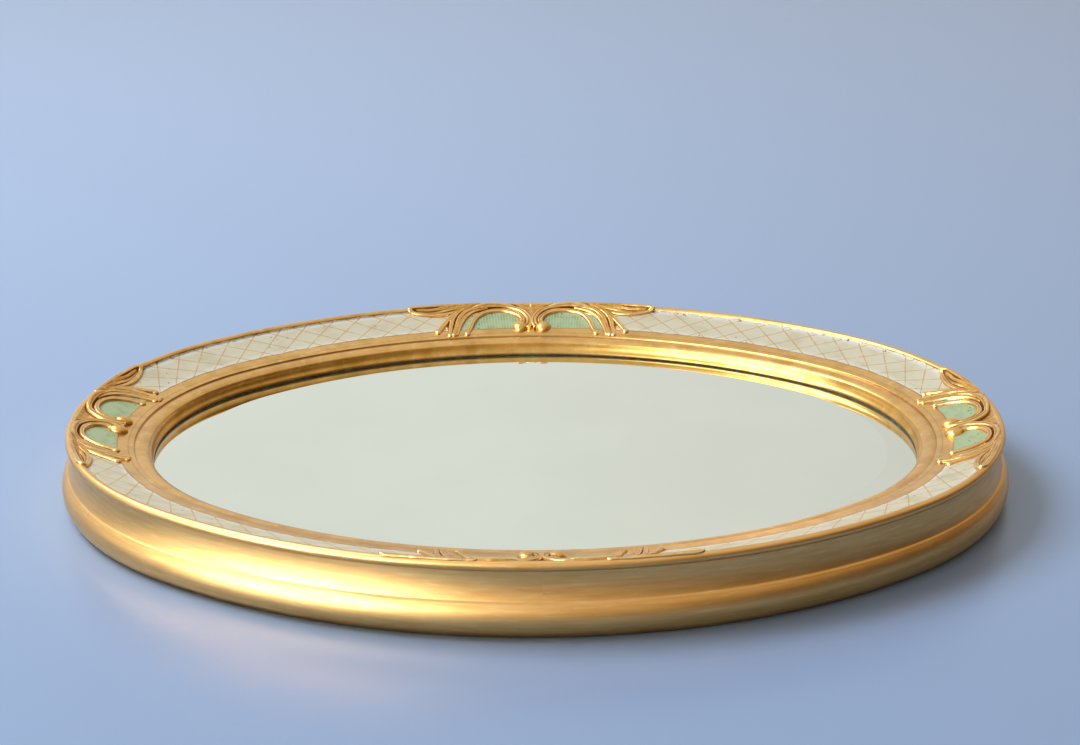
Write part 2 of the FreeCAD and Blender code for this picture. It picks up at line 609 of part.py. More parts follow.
def surfaceHeight(across):
    """How high the moulding's face is at an offset from the sight edge."""
    corners = [(value("sizes.coveWidth"), value(arrisHeight)), (value(quirkAcross), value(quirkHeight)),
               (value(bandAcross), value(bandHeight)), (value(friezeAcross), value(rimHeight))]
    for (near, low), (far, high) in zip(corners, corners[1:]):
        if across <= far:
            return low + (high - low) * (across - near) / (far - near)
    radius = value("sizes.rimRadius")
    aside = min(abs(across - value(rimAcross)), radius)
    return value(rimHeight) + math.sqrt(radius ** 2 - aside ** 2)


def sprayPoint(share, sight, hand, lift):
    """A point on the moulding's face, from its shares along and across the spray."""
    along, over = share
    across = value(bandAcross) + over * value("sizes.friezeWidth")
    middle = sight + value(bandAcross) + value("sizes.friezeWidth") / 2
    angle = hand * along * value("sizes.scrollLength") / middle
    radius = sight + across
    return FreeCAD.Vector(radius * math.cos(angle), radius * math.sin(angle), surfaceHeight(across) + lift)


def friezeNormal(point):
    """Straight up from the sloping frieze, at a point that is placed about the arc's own centre."""
    rise = value(rimHeight) - value(bandHeight)
    outward = FreeCAD.Vector(point.x, point.y, 0).normalize()
    return (FreeCAD.Vector(0, 0, value("sizes.friezeWidth")) - outward * rise).normalize()


def ridge(shares, widths, heights, sight, hand):
    """A carved strand or leaf that lies along the face: four-sided sections, ruled from one to the next."""
    lift = value("sizes.strandLift")
    points = [sprayPoint(share, sight, hand, lift) for share in shares]
    line = Part.BSplineCurve()
    line.interpolate(points)
    sections = []
    for point, wide, tall in zip(points, widths, heights):
        along = FreeCAD.Vector(*line.tangent(line.parameter(point))[0])
        aside = along.cross(friezeNormal(point)).normalize()
        upright = aside.cross(along).normalize()
        corners = [point + aside * wide * over + upright * tall * rise for over, rise in ridgeShares]
        sections.append(Part.makePolygon(corners + corners[:1]))
    return Part.makeLoft(sections, True, True)


def button():
    """The turned boss in a scroll's eye: a shallow dome in three steps, its foot below the face."""
    radius, height = value("sizes.bossRadius"), value("sizes.bossHeight")
    corners = [FreeCAD.Vector(radius * out, 0, height * up) for out, up in bossShares]
    corners.append(FreeCAD.Vector(0, 0, height * bossShares[-1][1]))
    corners.append(FreeCAD.Vector(0, 0, height * bossShares[0][1]))
    section = Part.Face(Part.makePolygon(corners + corners[:1]))
    return section.revolve(FreeCAD.Vector(), FreeCAD.Vector(0, 0, 1), 360)


def seat(sight):
    """What the castings are bedded on: the face from the quirk outwards, with flats round the rim bead."""
    radius = value("sizes.rimRadius")
    low = value("sizes.baseHeight")
    places = [(value(quirkAcross), low), (value(quirkAcross), value(quirkHeight) + value("sizes.quirkDepth")),
              (value(bandAcross), value(bandHeight)), (value(friezeAcross), value(rimHeight))]
    for angle in rimFlats:
        turn = math.radians(angle)
        reach = radius / math.cos(math.radians(rimFlatHalf))
        places.append((value(rimAcross) + reach * math.cos(turn), value(rimHeight) + reach * math.sin(turn)))
    places.append((places[-1][0], low))
    corners = [FreeCAD.Vector(sight + across, 0, up + value("sizes.castingBed")) for across, up in places]
    section = Part.Face(Part.makePolygon(corners + corners[:1]))
    return section.revolve(FreeCAD.Vector(), FreeCAD.Vector(0, 0, 1), 360)


def spray(label, arc, hand):
    """Half a cartouche: two scrolled strands from a boss, a side shoot and a leaf along the rim."""
    centreX, centreY, sight, spread, turn = arc
    inner = value(sight)

    def strandOf(shares):
        taper = [1] * (len(shares) - len(strandTaperShares)) + strandTaperShares
        wide = [value("sizes.strandHalfWidth") * share for share in taper]
        tall = [value("sizes.strandHeight") * share for share in taper]
        return ridge(shares, wide, tall, inner, hand)

    leafWide = [value("sizes.leafHalfWidth") * share for share in leafWidthShares]
    leafTall = [value("sizes.leafHeight") * share for share in leafHeightShares]
    leaf = ridge(leafShares, leafWide, leafTall, inner, hand)
    boss = button()
    boss.translate(sprayPoint(bossShare, inner, hand, 0))
    relief = boss.fuse([strandOf(scrollShares), strandOf(innerScrollShares), strandOf(shootShares), leaf])
    casting = doc.addObject("Part::Feature", label)
    casting.Label = label
    casting.Shape = relief.cut(seat(inner))
    casting.Placement = FreeCAD.Placement(FreeCAD.Vector(value(centreX), value(centreY), 0),
                                          FreeCAD.Rotation(FreeCAD.Vector(0, 0, 1), turn))
    return casting


def build():
    pieces = [frontSegment(f"face_segment_{name}", hand, half)
              for name, hand, half in (("upper_right", 1, 0), ("upper_left", -1, 180),
                                       ("lower_left", 1, 180), ("lower_right", -1, 0))]
    for arc, name in zip(arcs, ("right", "top", "left", "bottom")):
        pieces.append(backSegment(f"back_segment_{name}", arc, name == "right"))
    dowels()
    pieces.append(mirrorGlass())
    glassSlips()
    pieces.append(ovalSheet("backing_card", "sizes.lipCover", "sizes.cardThickness", boardTop))
    pieces.append(ovalSheet("backing_board", f"({rabbetAcross} - sizes.boardPlay)", "sizes.boardThickness",
                            boardBack))
    sprigs()
    pieces += [hangerPlate(), hangerRing()]
    hangerScrews()
    sprays = (("right", "upper", "lower"), ("top", "left", "right"),
              ("left", "lower", "upper"), ("bottom", "right", "left"))
    for arc, (name, onward, back) in zip(arcs, sprays):
        pieces.append(spray(f"{name}_scroll_{onward}", arc, 1))
        pieces.append(spray(f"{name}_scroll_{back}", arc, -1))
    pieces += [doc.getObject(name) for name in ("face_joint_dowels", "back_joint_dowels", "glass_slips",
                                                "backing_sprigs", "hanger_screws")]
    return pieces


pieces = build()
doc.recompute()
for thing in doc.Objects:
    if "Invalid" in thing.State or "Error" in thing.State:
        raise RuntimeError(f"{thing.Label} is {thing.State}")
for piece in pieces:
    if piece.Shape.isNull() or not piece.Shape.isValid():
        raise RuntimeError(f"{piece.Label} has no valid shape")
os.makedirs("parts", exist_ok=True)
for piece in pieces:
    piece.Shape.exportStep(f"parts/{piece.Label}.step")
    print(piece.Label, len(piece.Shape.Solids), "solids", round(piece.Shape.Volume), "cubic mm")
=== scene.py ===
import bmesh
import bpy
import json
import math
import numpy as np
from mathutils import Matrix, Vector

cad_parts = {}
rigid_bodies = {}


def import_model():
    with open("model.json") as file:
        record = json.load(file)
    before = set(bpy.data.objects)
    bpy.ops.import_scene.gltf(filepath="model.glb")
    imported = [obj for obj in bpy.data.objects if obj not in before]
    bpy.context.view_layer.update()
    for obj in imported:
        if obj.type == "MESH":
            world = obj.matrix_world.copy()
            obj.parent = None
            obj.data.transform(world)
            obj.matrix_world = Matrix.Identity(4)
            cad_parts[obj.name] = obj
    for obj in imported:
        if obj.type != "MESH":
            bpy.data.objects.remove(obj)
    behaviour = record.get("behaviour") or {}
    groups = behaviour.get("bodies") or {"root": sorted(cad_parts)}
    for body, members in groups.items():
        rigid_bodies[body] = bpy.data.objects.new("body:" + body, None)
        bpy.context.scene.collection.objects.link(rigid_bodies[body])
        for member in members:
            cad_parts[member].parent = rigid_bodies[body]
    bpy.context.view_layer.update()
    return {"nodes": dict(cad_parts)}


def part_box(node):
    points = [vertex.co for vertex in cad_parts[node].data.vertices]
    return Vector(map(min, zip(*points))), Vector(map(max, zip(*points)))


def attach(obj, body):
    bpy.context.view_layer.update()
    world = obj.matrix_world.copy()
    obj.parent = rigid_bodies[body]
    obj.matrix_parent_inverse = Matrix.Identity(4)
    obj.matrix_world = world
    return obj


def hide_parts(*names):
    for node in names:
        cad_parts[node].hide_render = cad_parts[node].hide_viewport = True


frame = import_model()
mm = 0.001

# the oval in mm: four tangent arcs that meet jointAngle up from the long axis
oval = {"jointAngle": 49.7, "faceWidth": 47, "pathAcross": 28.5, "degreesPerKnot": 12}
# how far in mm each cartouche stands off its axis, anticlockwise
offAxis = {"right": -8.0, "top": 0, "left": -6.5, "bottom": 0}
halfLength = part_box("back_segment_right")[1].x / mm
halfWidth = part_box("back_segment_top")[1].y / mm
jointTurn = math.radians(oval["jointAngle"])
endCentre = (halfLength - halfWidth) / (1 + math.tan(jointTurn) - 1 / math.cos(jointTurn))
sideCentre = endCentre * math.tan(jointTurn)
endSight = halfLength - endCentre - oval["faceWidth"]
sideSight = endSight + endCentre / math.cos(jointTurn)


# centre x, centre y and sight radius of the arc whose outward direction is degrees
def arcAt(degrees):
    turn = (degrees + 360) % 360
    if turn < oval["jointAngle"] or turn > 360 - oval["jointAngle"]:
        return endCentre, 0, endSight
    if turn <= 180 - oval["jointAngle"]:
        return 0, -sideCentre, sideSight
    if turn < 180 + oval["jointAngle"]:
        return -endCentre, 0, endSight
    return 0, sideCentre, sideSight


def sRgb(hexText):
    levels = [int(hexText[i:i + 2], 16) / 255 for i in (1, 3, 5)]
    return (*(c / 12.92 if c <= 0.04045 else ((c + 0.055) / 1.055) ** 2.4 for c in levels), 1)


# a node with its settings, values and links; a node given as an input stands for its first output
def addNode(tree, kind, inputs=None, **settings):
    node = tree.nodes.new(kind)
    for name, setting in settings.items():
        setattr(node, name, setting)
    for socket, given in (inputs or {}).items():
        if isinstance(given, bpy.types.Node):
            given = given.outputs[0]
        if isinstance(given, bpy.types.NodeSocket):
            tree.links.new(given, node.inputs[socket])
        else:
            node.inputs[socket].default_value = given
    return node


def newMaterial(name):
    material = bpy.data.materials.new(name)
    material.use_nodes = True
    material.node_tree.nodes.clear()
    return material, material.node_tree


# ends a material with its shader
def shade(tree, inputs):
    shader = addNode(tree, "ShaderNodeBsdfPrincipled", inputs)
    addNode(tree, "ShaderNodeOutputMaterial", {"Surface": shader})


def link(obj):
    bpy.context.scene.collection.objects.link(obj)
    return obj


# a curve of straight runs, each a list of points in metres
def polyCurve(name, runs, closed, radii=None):
    data = bpy.data.curves.new(name, "CURVE")
    data.dimensions = "3D"
    data.twist_mode = "Z_UP"
    for number, run in enumerate(runs):
        spline = data.splines.new("POLY")
        spline.points.add(len(run) - 1)
        for index, place in enumerate(run):
            spline.points[index].co = (*place, 1)
            spline.points[index].radius = radii[number][index] if radii else 1
        spline.use_cyclic_u = closed
    return link(bpy.data.objects.new(name, data))


# gives a Geometry Nodes tree to an object, with its inputs set by their sockets' identifiers
def addTree(obj, tree, wanted):
    modifier = obj.modifiers.new(tree.name, "NODES")
    modifier.node_group = tree
    for item in tree.interface.items_tree:
        if item.name in wanted:
            modifier[item.identifier] = wanted[item.name]


# the evaluated object as a plain mesh object at the origin
def toMesh(obj, name):
    graph = bpy.context.evaluated_depsgraph_get()
    mesh = bpy.data.meshes.new_from_object(obj.evaluated_get(graph))
    return link(bpy.data.objects.new(name, mesh))


def discard(*objects):
    for obj in objects:
        bpy.data.objects.remove(obj)


# outlines of the mouldings in mm: across from the sight edge, and up from the back
moulding = {
    "baseHeight": 18, "frameHeight": 37, "beadRadius": 11.6, "beadMid": 9.6, "layerLedge": 0.1,
    "sideCoveRadius": 30, "lipHeight": 1.6, "coveWidth": 2.0, "coveHeight": 5.2, "coveRadius": 6,
    "ovoloWidth": 7.6, "ovoloRise": 1.4, "ovoloRadius": 8, "quirkDepth": 1.0, "bandWidth": 8.4,
    "bandRise": 1.5, "friezeWidth": 21, "rimRadius": 2.4, "rimWrapAngle": 92, "rabbetAcross": 8.5,
    "sharpAngle": 50,
    # the gesso skin over the joint: how far down, and its thickness at shares of that
    "skinReach": 1.6, "skinTaper": ((0.35, 0.05), (0.7, 0.03), (1, 0), (1.3, -0.6)),
    "outlineStep": 0.2, "softness": 0.28, "thinning": 0.012, "bumpDepth": 0.12, "bumpSpacing": 22,
}
baseHeight, beadRadius, beadMid = moulding["baseHeight"], moulding["beadRadius"], moulding["beadMid"]
rimRadius, outlineStep = moulding["rimRadius"], moulding["outlineStep"]
quirkAcross = moulding["coveWidth"] + moulding["ovoloWidth"]
bandAcross = quirkAcross + moulding["bandWidth"]
friezeAcross = bandAcross + moulding["friezeWidth"]
rimAcross = friezeAcross + rimRadius
lipTop = baseHeight + moulding["lipHeight"]
arrisHeight = lipTop + moulding["coveHeight"]
quirkHeight = arrisHeight + moulding["ovoloRise"]
bandHeight = quirkHeight + moulding["quirkDepth"] + moulding["bandRise"]
rimHeight = moulding["frameHeight"] - rimRadius
beadCentre = oval["faceWidth"] - beadRadius
footAcross = beadCentre + math.sqrt(beadRadius ** 2 - beadMid ** 2)
ledgeAcross = beadCentre + math.sqrt(beadRadius ** 2 - (baseHeight - beadMid) ** 2)
rimWrap = math.radians(moulding["rimWrapAngle"])
rimFoot = (rimAcross + rimRadius * math.cos(rimWrap), rimHeight - rimRadius * math.sin(rimWrap))


# points between start and end on an arc: turn is 1 for a hollow and -1 for a round
def arcPoints(start, end, radius, turn, large=False):
    chord = np.subtract(end, start)
    length = np.hypot(*chord)
    rise = math.sqrt(radius ** 2 - (length / 2) ** 2)
    aside = np.array([-chord[1], chord[0]]) / length
    centre = np.add(start, end) / 2 + aside * rise * turn * (-1 if large else 1)
    first = math.atan2(start[1] - centre[1], start[0] - centre[0])
    last = math.atan2(end[1] - centre[1], end[0] - centre[0])
    swept = (last - first) * turn % (2 * math.pi) * turn
    steps = max(int(abs(swept) * radius / outlineStep), 4)
    turns = first + swept * np.linspace(0, 1, steps + 1)[1:-1]
    return [tuple(centre + radius * np.array([math.cos(angle), math.sin(angle)])) for angle in turns]


# the points of a line again, outlineStep apart, each pair of ends given
def divided(pairs):
    dense = []
    for start, end in pairs:
        count = max(int(math.dist(start, end) / outlineStep), 1)
        dense += [tuple(np.add(start, np.subtract(end, start) * i / count)) for i in range(count)]
    return np.array(dense)


# a line whose corners are rubbed round over spread, counted in its own steps
def blurred(line, spread, closed=True):
    reach = int(spread * 4) + 1
    weights = np.exp(-np.arange(-reach, reach + 1) ** 2 / (2 * spread ** 2))
    padded = np.pad(line, ((reach, reach), (0, 0)), mode="wrap" if closed else "edge")
    return sum(weight * padded[i:i + len(line)] for i, weight in enumerate(weights / weights.sum()))


# leaves out points that lie within thinning of the line between those kept
def thinned(line):
    kept = [0, len(line) - 1]
    waiting = [(0, len(line) - 1)]
    while waiting:
        low, high = waiting.pop()
        if high - low < 2:
            continue
        run = line[high] - line[low]
        offsets = line[low + 1:high] - line[low]
        if np.hypot(*run) < 2 * outlineStep:
            away = np.hypot(*offsets.T)
        else:
            away = np.abs(offsets[:, 0] * run[1] - offsets[:, 1] * run[0]) / np.hypot(*run)
        worst = int(np.argmax(away))
        if away[worst] > moulding["thinning"]:
            kept.append(low + 1 + worst)
            waiting += [(low, low + 1 + worst), (low + 1 + worst, high)]
    return line[sorted(kept)]


# the face layer's outline, from its inner foot over the face to its outer foot
def faceCorners():
    lip, arris, quirk = (0, lipTop), (moulding["coveWidth"], arrisHeight), (quirkAcross, quirkHeight)
    crest = (friezeAcross, rimHeight)
    ledge = (ledgeAcross - moulding["layerLedge"], baseHeight)
    points = [(0, baseHeight), lip] + arcPoints(lip, arris, moulding["coveRadius"], 1) + [arris]
    points += arcPoints(arris, quirk, moulding["ovoloRadius"], -1)
    points += [quirk, (quirkAcross, quirkHeight + moulding["quirkDepth"])]
    points += [(bandAcross, bandHeight), crest] + arcPoints(crest, rimFoot, rimRadius, -1, True) + [rimFoot]
    points += arcPoints(rimFoot, ledge, moulding["sideCoveRadius"], 1) + [ledge]
    # the gesso is drawn down over the joint between the layers
    for share, thickness in moulding["skinTaper"]:
        up = baseHeight - moulding["skinReach"] * share - beadMid
        points.append((beadCentre + math.sqrt((beadRadius + thickness) ** 2 - up ** 2), up + beadMid))
    return points + [(points[-1][0] - 2 * moulding["skinReach"], points[-1][1])]


def baseCorners():
    ledge, foot = (ledgeAcross, baseHeight), (footAcross, 0)
    points = [(moulding["rabbetAcross"], 0), (moulding["rabbetAcross"], baseHeight), ledge]
    return points + arcPoints(ledge, foot, beadRadius, -1) + [foot]


def outlineOf(corners):
    line = divided(zip(corners, corners[1:] + corners[:1]))
    return thinned(blurred(line, moulding["softness"] / outlineStep))


# how far along an outline, in mm, its point nearest to place lies
def runTo(line, place):
    nearest = int(np.argmin(np.hypot(*(line - np.array(place)).T)))
    return float(np.hypot(*np.diff(line, axis=0).T)[:nearest].sum())


faceLine = outlineOf(faceCorners())
baseLine = outlineOf(baseCorners())
lipRun = runTo(faceLine, (0, lipTop))
arrisRun = runTo(faceLine, (moulding["coveWidth"], arrisHeight))
quirkRun = runTo(faceLine, (quirkAcross, quirkHeight))
friezeStart = runTo(faceLine, (bandAcross, bandHeight))
friezeEnd = runTo(faceLine, (friezeAcross, rimHeight))
rimTop = runTo(faceLine, (rimAcross, moulding["frameHeight"]))


# gold leaf, paint and bare wood: colours, roughness, the strength of each coat, and sizes in mm
gold = {
    "leaf": "#DDAF68", "leafWorn": "#C08F4A", "leafPale": "#F4DBA6", "paleShare": 0.5,
    "outerLeaf": "#E4B673", "outerWorn": "#D29D59", "castingLeaf": "#DBA556", "castingGlaze": "#52320D",
    "bole": "#6E4424", "patina": "#3F260E", "glaze": "#643F12", "olive": "#A88A30", "oliveShare": 0.5,
    "lipShadeGreen": "#5C5F45", "lipShadeBrown": "#3E2C14", "lipBare": 0.75,
    "roughness": 0.28, "outerRoughness": 0.37, "paintRoughness": 0.55, "glazeRoughness": 0.6,
    "brushing": (0.4, 4.0, 1.0), "glazeAndShadeReach": 2.2, "glazeAndShadeShare": 0.35, "footDustAndShadeWidth": 3.5, "footDustAndShadeShare": 0.35,
    "glazeShare": 0.92, "ridgeHighlightShare": 0.5,
    # patches: their spacing, the noise levels between which they fade in, and detail
    "rubbed": (11, 0.42, 0.85, 6), "pale": (4.4, 0.55, 0.80, 5), "stipple": (9, 0.40, 0.70, 6),
    "lipShadeTone": (5, 0.38, 0.55, 4), "chipped": (3.5, 0.60, 0.66, 5),
    # glaze left along the mouldings: from, to, width of its edge, strength
    "glazeLines": (
        (-1, 1.2, 0.8, 0.5),
        (quirkRun - 0.4, quirkRun + 0.6, 0.7, 0.3), (quirkRun + 3.4, quirkRun + 4.0, 0.6, 0.3),
        (friezeStart - 0.5, friezeStart + 0.3, 0.5, 0.4), (friezeEnd + 0.5, friezeEnd + 1.3, 0.5, 0.6)),
}
paint = {
    "cream": "#DCD5BC", "creamDull": "#CDC4A6", "white": "#E9EAE2", "edge": 2.2, "edgeShare": 0.75,
    "wobble": 0.9, "wobbleSpacing": 9, "lineGold": "#CAA660", "lineAlong": 16, "lineAcross": 14,
    "lineWidth": 0.8, "lineBow": 2.0, "lineDrift": 0.9, "driftSpacing": 40, "lineMetal": 0.6,
    "green": "#A6C196", "greenDull": "#86A57E", "hatch": "#DCCB98", "hatchShare": 0.5, "hatchSpacing": 1.7,
    "hatchWidth": 0.5, "panelMiddle": 23, "panelHalfLength": 23.5, "panelHeight": 18.5, "speckSpacing": 4.5,
    # patches, as for the gold
    "dulled": (14, 0.48, 0.72), "faded": (6, 0.45, 0.7), "lineRubbed": (5, 0.22, 0.5),
    "speckled": (16, 0.54, 0.60),
}
wood = {"pale": "#CDB48A", "dark": "#A98A5C", "grain": (2.4, 0.35, 0.7), "stretch": (0.04, 1.0, 1.0),
        "roughness": 0.7}


# a coat of colour over another where mask is 1, as strong as share
def coat(tree, under, over, mask, share=1):
    if share != 1:
        mask = addNode(tree, "ShaderNodeMath", {0: mask, 1: share}, operation="MULTIPLY")
    return addNode(tree, "ShaderNodeMix", {0: mask, 6: under, 7: over}, data_type="RGBA").outputs[2]


# 1 where run lies between low and high, with edges soft mm wide
def strip(tree, run, low, high, soft):
    half = soft / 2
    ramps = {}
    for end, (bare, full) in enumerate(((low - half, low + half), (high + half, high - half))):
        ramps[end] = addNode(tree, "ShaderNodeMapRange", {"Value": run, "From Min": bare, "From Max": full})
    return addNode(tree, "ShaderNodeMath", ramps, operation="MULTIPLY")


# 1 in patches about spacing mm apart, fading over noise levels low to high
def patches(tree, place, spacing, low, high, detail=3):
    noise = addNode(tree, "ShaderNodeTexNoise", {"Vector": place, "Scale": 1 / spacing, "Detail": detail})
    return addNode(tree, "ShaderNodeMapRange", {"Value": noise, "From Min": low, "From Max": high})


# 1 deep in corners and under edges within reach mm, where ambient shade falls, read from ambient occlusion
def shadedCrevices(tree, reach):
    corner = addNode(tree, "ShaderNodeAmbientOcclusion", {"Distance": reach * mm}, samples=6)
    level = {"Value": corner.outputs["AO"], "From Min": 0.85, "From Max": 0.35}
    return addNode(tree, "ShaderNodeMapRange", level)


# beaten leaf, rubbed thin in small patches and along the brush marks of the ground
def goldColour(tree, place, leaf="leaf", worn="leafWorn"):
    colour = coat(tree, sRgb(gold[leaf]), sRgb(gold[worn]), patches(tree, place, *gold["rubbed"]))
    return coat(tree, colour, sRgb(gold["leafPale"]), patches(tree, place, *gold["pale"]), gold["paleShare"])


# object coordinates in mm
def objectPlace(tree):
    coords = addNode(tree, "ShaderNodeTexCoord").outputs["Object"]
    return addNode(tree, "ShaderNodeVectorMath", {0: coords, "Scale": 1 / mm}, operation="SCALE")


# a UV map in mm, as a vector and as its two parts
def mapPlace(tree, name):
    coords = addNode(tree, "ShaderNodeUVMap", uv_map=name)
    scaled = addNode(tree, "ShaderNodeVectorMath", {0: coords, "Scale": 1 / mm}, operation="SCALE")
    parts = addNode(tree, "ShaderNodeSeparateXYZ", {0: scaled}).outputs
    return scaled, parts[0], parts[1]


# 1 on the gold lattice: two families of slanting lines, drawn by hand with a fine brush
def latticeLines(tree, place, along, over, curvature):
    centre = (friezeStart + friezeEnd) / 2
    middle = addNode(tree, "ShaderNodeMath", {0: over, 1: centre}, operation="SUBTRACT")
    bow = addNode(tree, "ShaderNodeMath", {0: middle, 1: curvature}, operation="MULTIPLY")
    # the lines stay straight on the curved frieze, so they lean less where it curves more
    lean = {0: bow, 1: -paint["lineBow"], 2: paint["lineAlong"] / paint["lineAcross"]}
    steep = addNode(tree, "ShaderNodeMath", lean, operation="MULTIPLY_ADD")
    straight = addNode(tree, "ShaderNodeMath", {0: middle, 1: steep}, operation="MULTIPLY")
    families = {}
    for family, slope in enumerate((1, -1)):
        slant = addNode(tree, "ShaderNodeMath", {0: straight, 1: slope}, operation="MULTIPLY")
        grain = {"Vector": place, "Scale": 1 / paint["driftSpacing"], "W": slope, "Detail": 1}
        drift = addNode(tree, "ShaderNodeTexNoise", grain, noise_dimensions="4D")
        shift = {0: drift, 1: paint["lineDrift"], 2: slant}
        drifted = addNode(tree, "ShaderNodeMath", shift, operation="MULTIPLY_ADD")
        phase = addNode(tree, "ShaderNodeMath", {0: along, 1: drifted})
        cell = addNode(tree, "ShaderNodeMath", {0: phase, 1: paint["lineAlong"] / 2}, operation="PINGPONG")
        level = {"Value": cell, "From Min": paint["lineWidth"] * 0.85, "From Max": paint["lineWidth"] * 0.35}
        families[family] = addNode(tree, "ShaderNodeMapRange", level)
    lines = addNode(tree, "ShaderNodeMath", families, operation="MAXIMUM")
    rubbed = patches(tree, place, *paint["lineRubbed"])
    return addNode(tree, "ShaderNodeMath", {0: lines, 1: rubbed}, operation="MULTIPLY")


# 1 on the half ovals of green between the scrolls
def panelShape(tree, fromCentre, over):
    aside = addNode(tree, "ShaderNodeMapRange", {"Value": fromCentre, "From Min": paint["panelMiddle"],
                    "From Max": paint["panelMiddle"] + paint["panelHalfLength"]}, clamp=False)
    upward = addNode(tree, "ShaderNodeMapRange", {"Value": over, "From Min": friezeStart,
                     "From Max": friezeStart + paint["panelHeight"]}, clamp=False)
    offset = addNode(tree, "ShaderNodeCombineXYZ", {0: aside, 1: upward})
    reach = addNode(tree, "ShaderNodeVectorMath", {0: offset}, operation="LENGTH")
    level = {"Value": reach.outputs["Value"], "From Min": 1.02, "From Max": 0.98}
    return addNode(tree, "ShaderNodeMapRange", level)


# water-gilt wood over bole, with a tempera frieze: burnished leaf shines, the rubbed paint is matt
def facePaint():
    material, tree = newMaterial("giltTemperaFace")
    place = objectPlace(tree)
    run, along, over = mapPlace(tree, "run")
    _, fromCentre, curvature = mapPlace(tree, "cartouche")
    grain = {"Vector": place, "Scale": 1 / paint["wobbleSpacing"], "Detail": 2}
    wander = addNode(tree, "ShaderNodeTexNoise", grain)
    level = {"Value": wander, "To Min": -paint["wobble"], "To Max": paint["wobble"]}
    shake = addNode(tree, "ShaderNodeMapRange", level)
    overHand = addNode(tree, "ShaderNodeMath", {0: over, 1: shake})
    frieze = strip(tree, overHand, friezeStart + 0.3, friezeEnd + 0.9, 0.3)

    # the side and the rim are of paler leaf than the inner mouldings, rubbed along the frame
    outer = strip(tree, over, rimTop, rimTop + 60, 1.5)
    brushed = addNode(tree, "ShaderNodeVectorMath", {0: run, 1: gold["brushing"]}, operation="MULTIPLY")
    colour = coat(tree, goldColour(tree, place), goldColour(tree, brushed, "outerLeaf", "outerWorn"), outer)
    # olive glaze, stippled, in the cove at the glass, and brown glaze left in the quirks
    cove = {0: strip(tree, over, -6, arrisRun - 0.7, 0.8), 1: patches(tree, place, *gold["stipple"])}
    stippled = addNode(tree, "ShaderNodeMath", cove, operation="MULTIPLY")
    colour = coat(tree, colour, sRgb(gold["olive"]), stippled, gold["oliveShare"])
    for low, high, soft, share in gold["glazeLines"]:
        colour = coat(tree, colour, sRgb(gold["glaze"]), strip(tree, over, low, high, soft), share)
    # the lip at the glass, painted dark grey-green and brown in patches: partly toning, partly painted shade
    # along the sight edge
    # painted shade: the lip is darkened to grey-green and brown
    lip = strip(tree, over, -6, lipRun - gold["lipBare"], 0.4)
    lipShadeTone = coat(tree, sRgb(gold["lipShadeGreen"]), sRgb(gold["lipShadeBrown"]), patches(tree, place, *gold["lipShadeTone"]))
    colour = coat(tree, colour, lipShadeTone, lip)

    # the frieze: cream tempera, whiter at its edges and dulled by handling
    cream = coat(tree, sRgb(paint["cream"]), sRgb(paint["creamDull"]), patches(tree, place, *paint["dulled"]))
    inside = strip(tree, overHand, friezeStart + paint["edge"], friezeEnd - paint["edge"], 3.0)
    edges = addNode(tree, "ShaderNodeMath", {0: 1.0, 1: inside}, operation="SUBTRACT")
    cream = coat(tree, cream, sRgb(paint["white"]), edges, paint["edgeShare"])
    lines = latticeLines(tree, place, along, over, curvature)
    cream = coat(tree, cream, sRgb(paint["lineGold"]), lines)

    # green panels between the scrolls, hatched with fine gold
    panel = panelShape(tree, fromCentre, over)
    green = coat(tree, sRgb(paint["green"]), sRgb(paint["greenDull"]), patches(tree, place, *paint["faded"]))
    hatch = addNode(tree, "ShaderNodeMath", {0: along, 1: paint["hatchSpacing"] / 2}, operation="PINGPONG")
    level = {"Value": hatch, "From Min": paint["hatchWidth"] * 0.8, "From Max": paint["hatchWidth"] * 0.3}
    hatch = addNode(tree, "ShaderNodeMapRange", level)
    green = coat(tree, green, sRgb(paint["hatch"]), hatch, paint["hatchShare"])
    cream = coat(tree, cream, green, panel)

    # dark specks, as flicked on by the painter, and bole that shows where the paint has chipped
    cells = addNode(tree, "ShaderNodeTexVoronoi", {"Vector": place, "Scale": 1 / paint["speckSpacing"]})
    level = {"Value": cells.outputs["Distance"], "From Min": 0.13, "From Max": 0.08}
    specks = addNode(tree, "ShaderNodeMapRange", level)
    masks = {0: patches(tree, place, *paint["speckled"]), 1: panel}
    where = addNode(tree, "ShaderNodeMath", masks, operation="MAXIMUM")
    specks = addNode(tree, "ShaderNodeMath", {0: specks, 1: where}, operation="MULTIPLY")
    cream = coat(tree, cream, sRgb(gold["patina"]), specks)
    colour = coat(tree, colour, cream, frieze)
    edge = strip(tree, over, friezeEnd - 1.0, friezeEnd + 1.2, 1.0)
    chipped = patches(tree, place, *gold["chipped"])
    chipped = addNode(tree, "ShaderNodeMath", {0: edge, 1: chipped}, operation="MULTIPLY")
    colour = coat(tree, colour, sRgb(gold["bole"]), chipped)
    # brown glaze and painted shade in the corners and under the edges
    colour = coat(tree, colour, sRgb(gold["glaze"]), shadedCrevices(tree, gold["glazeAndShadeReach"]), gold["glazeAndShadeShare"])

    lineMetal = addNode(tree, "ShaderNodeMath", {0: lines, 1: paint["lineMetal"]}, operation="MULTIPLY")
    painted = addNode(tree, "ShaderNodeMath", {0: frieze, 1: lineMetal}, operation="SUBTRACT", use_clamp=True)
    painted = addNode(tree, "ShaderNodeMath", {0: painted, 1: lip}, operation="MAXIMUM")
    metal = addNode(tree, "ShaderNodeMath", {0: 1.0, 1: painted}, operation="SUBTRACT")
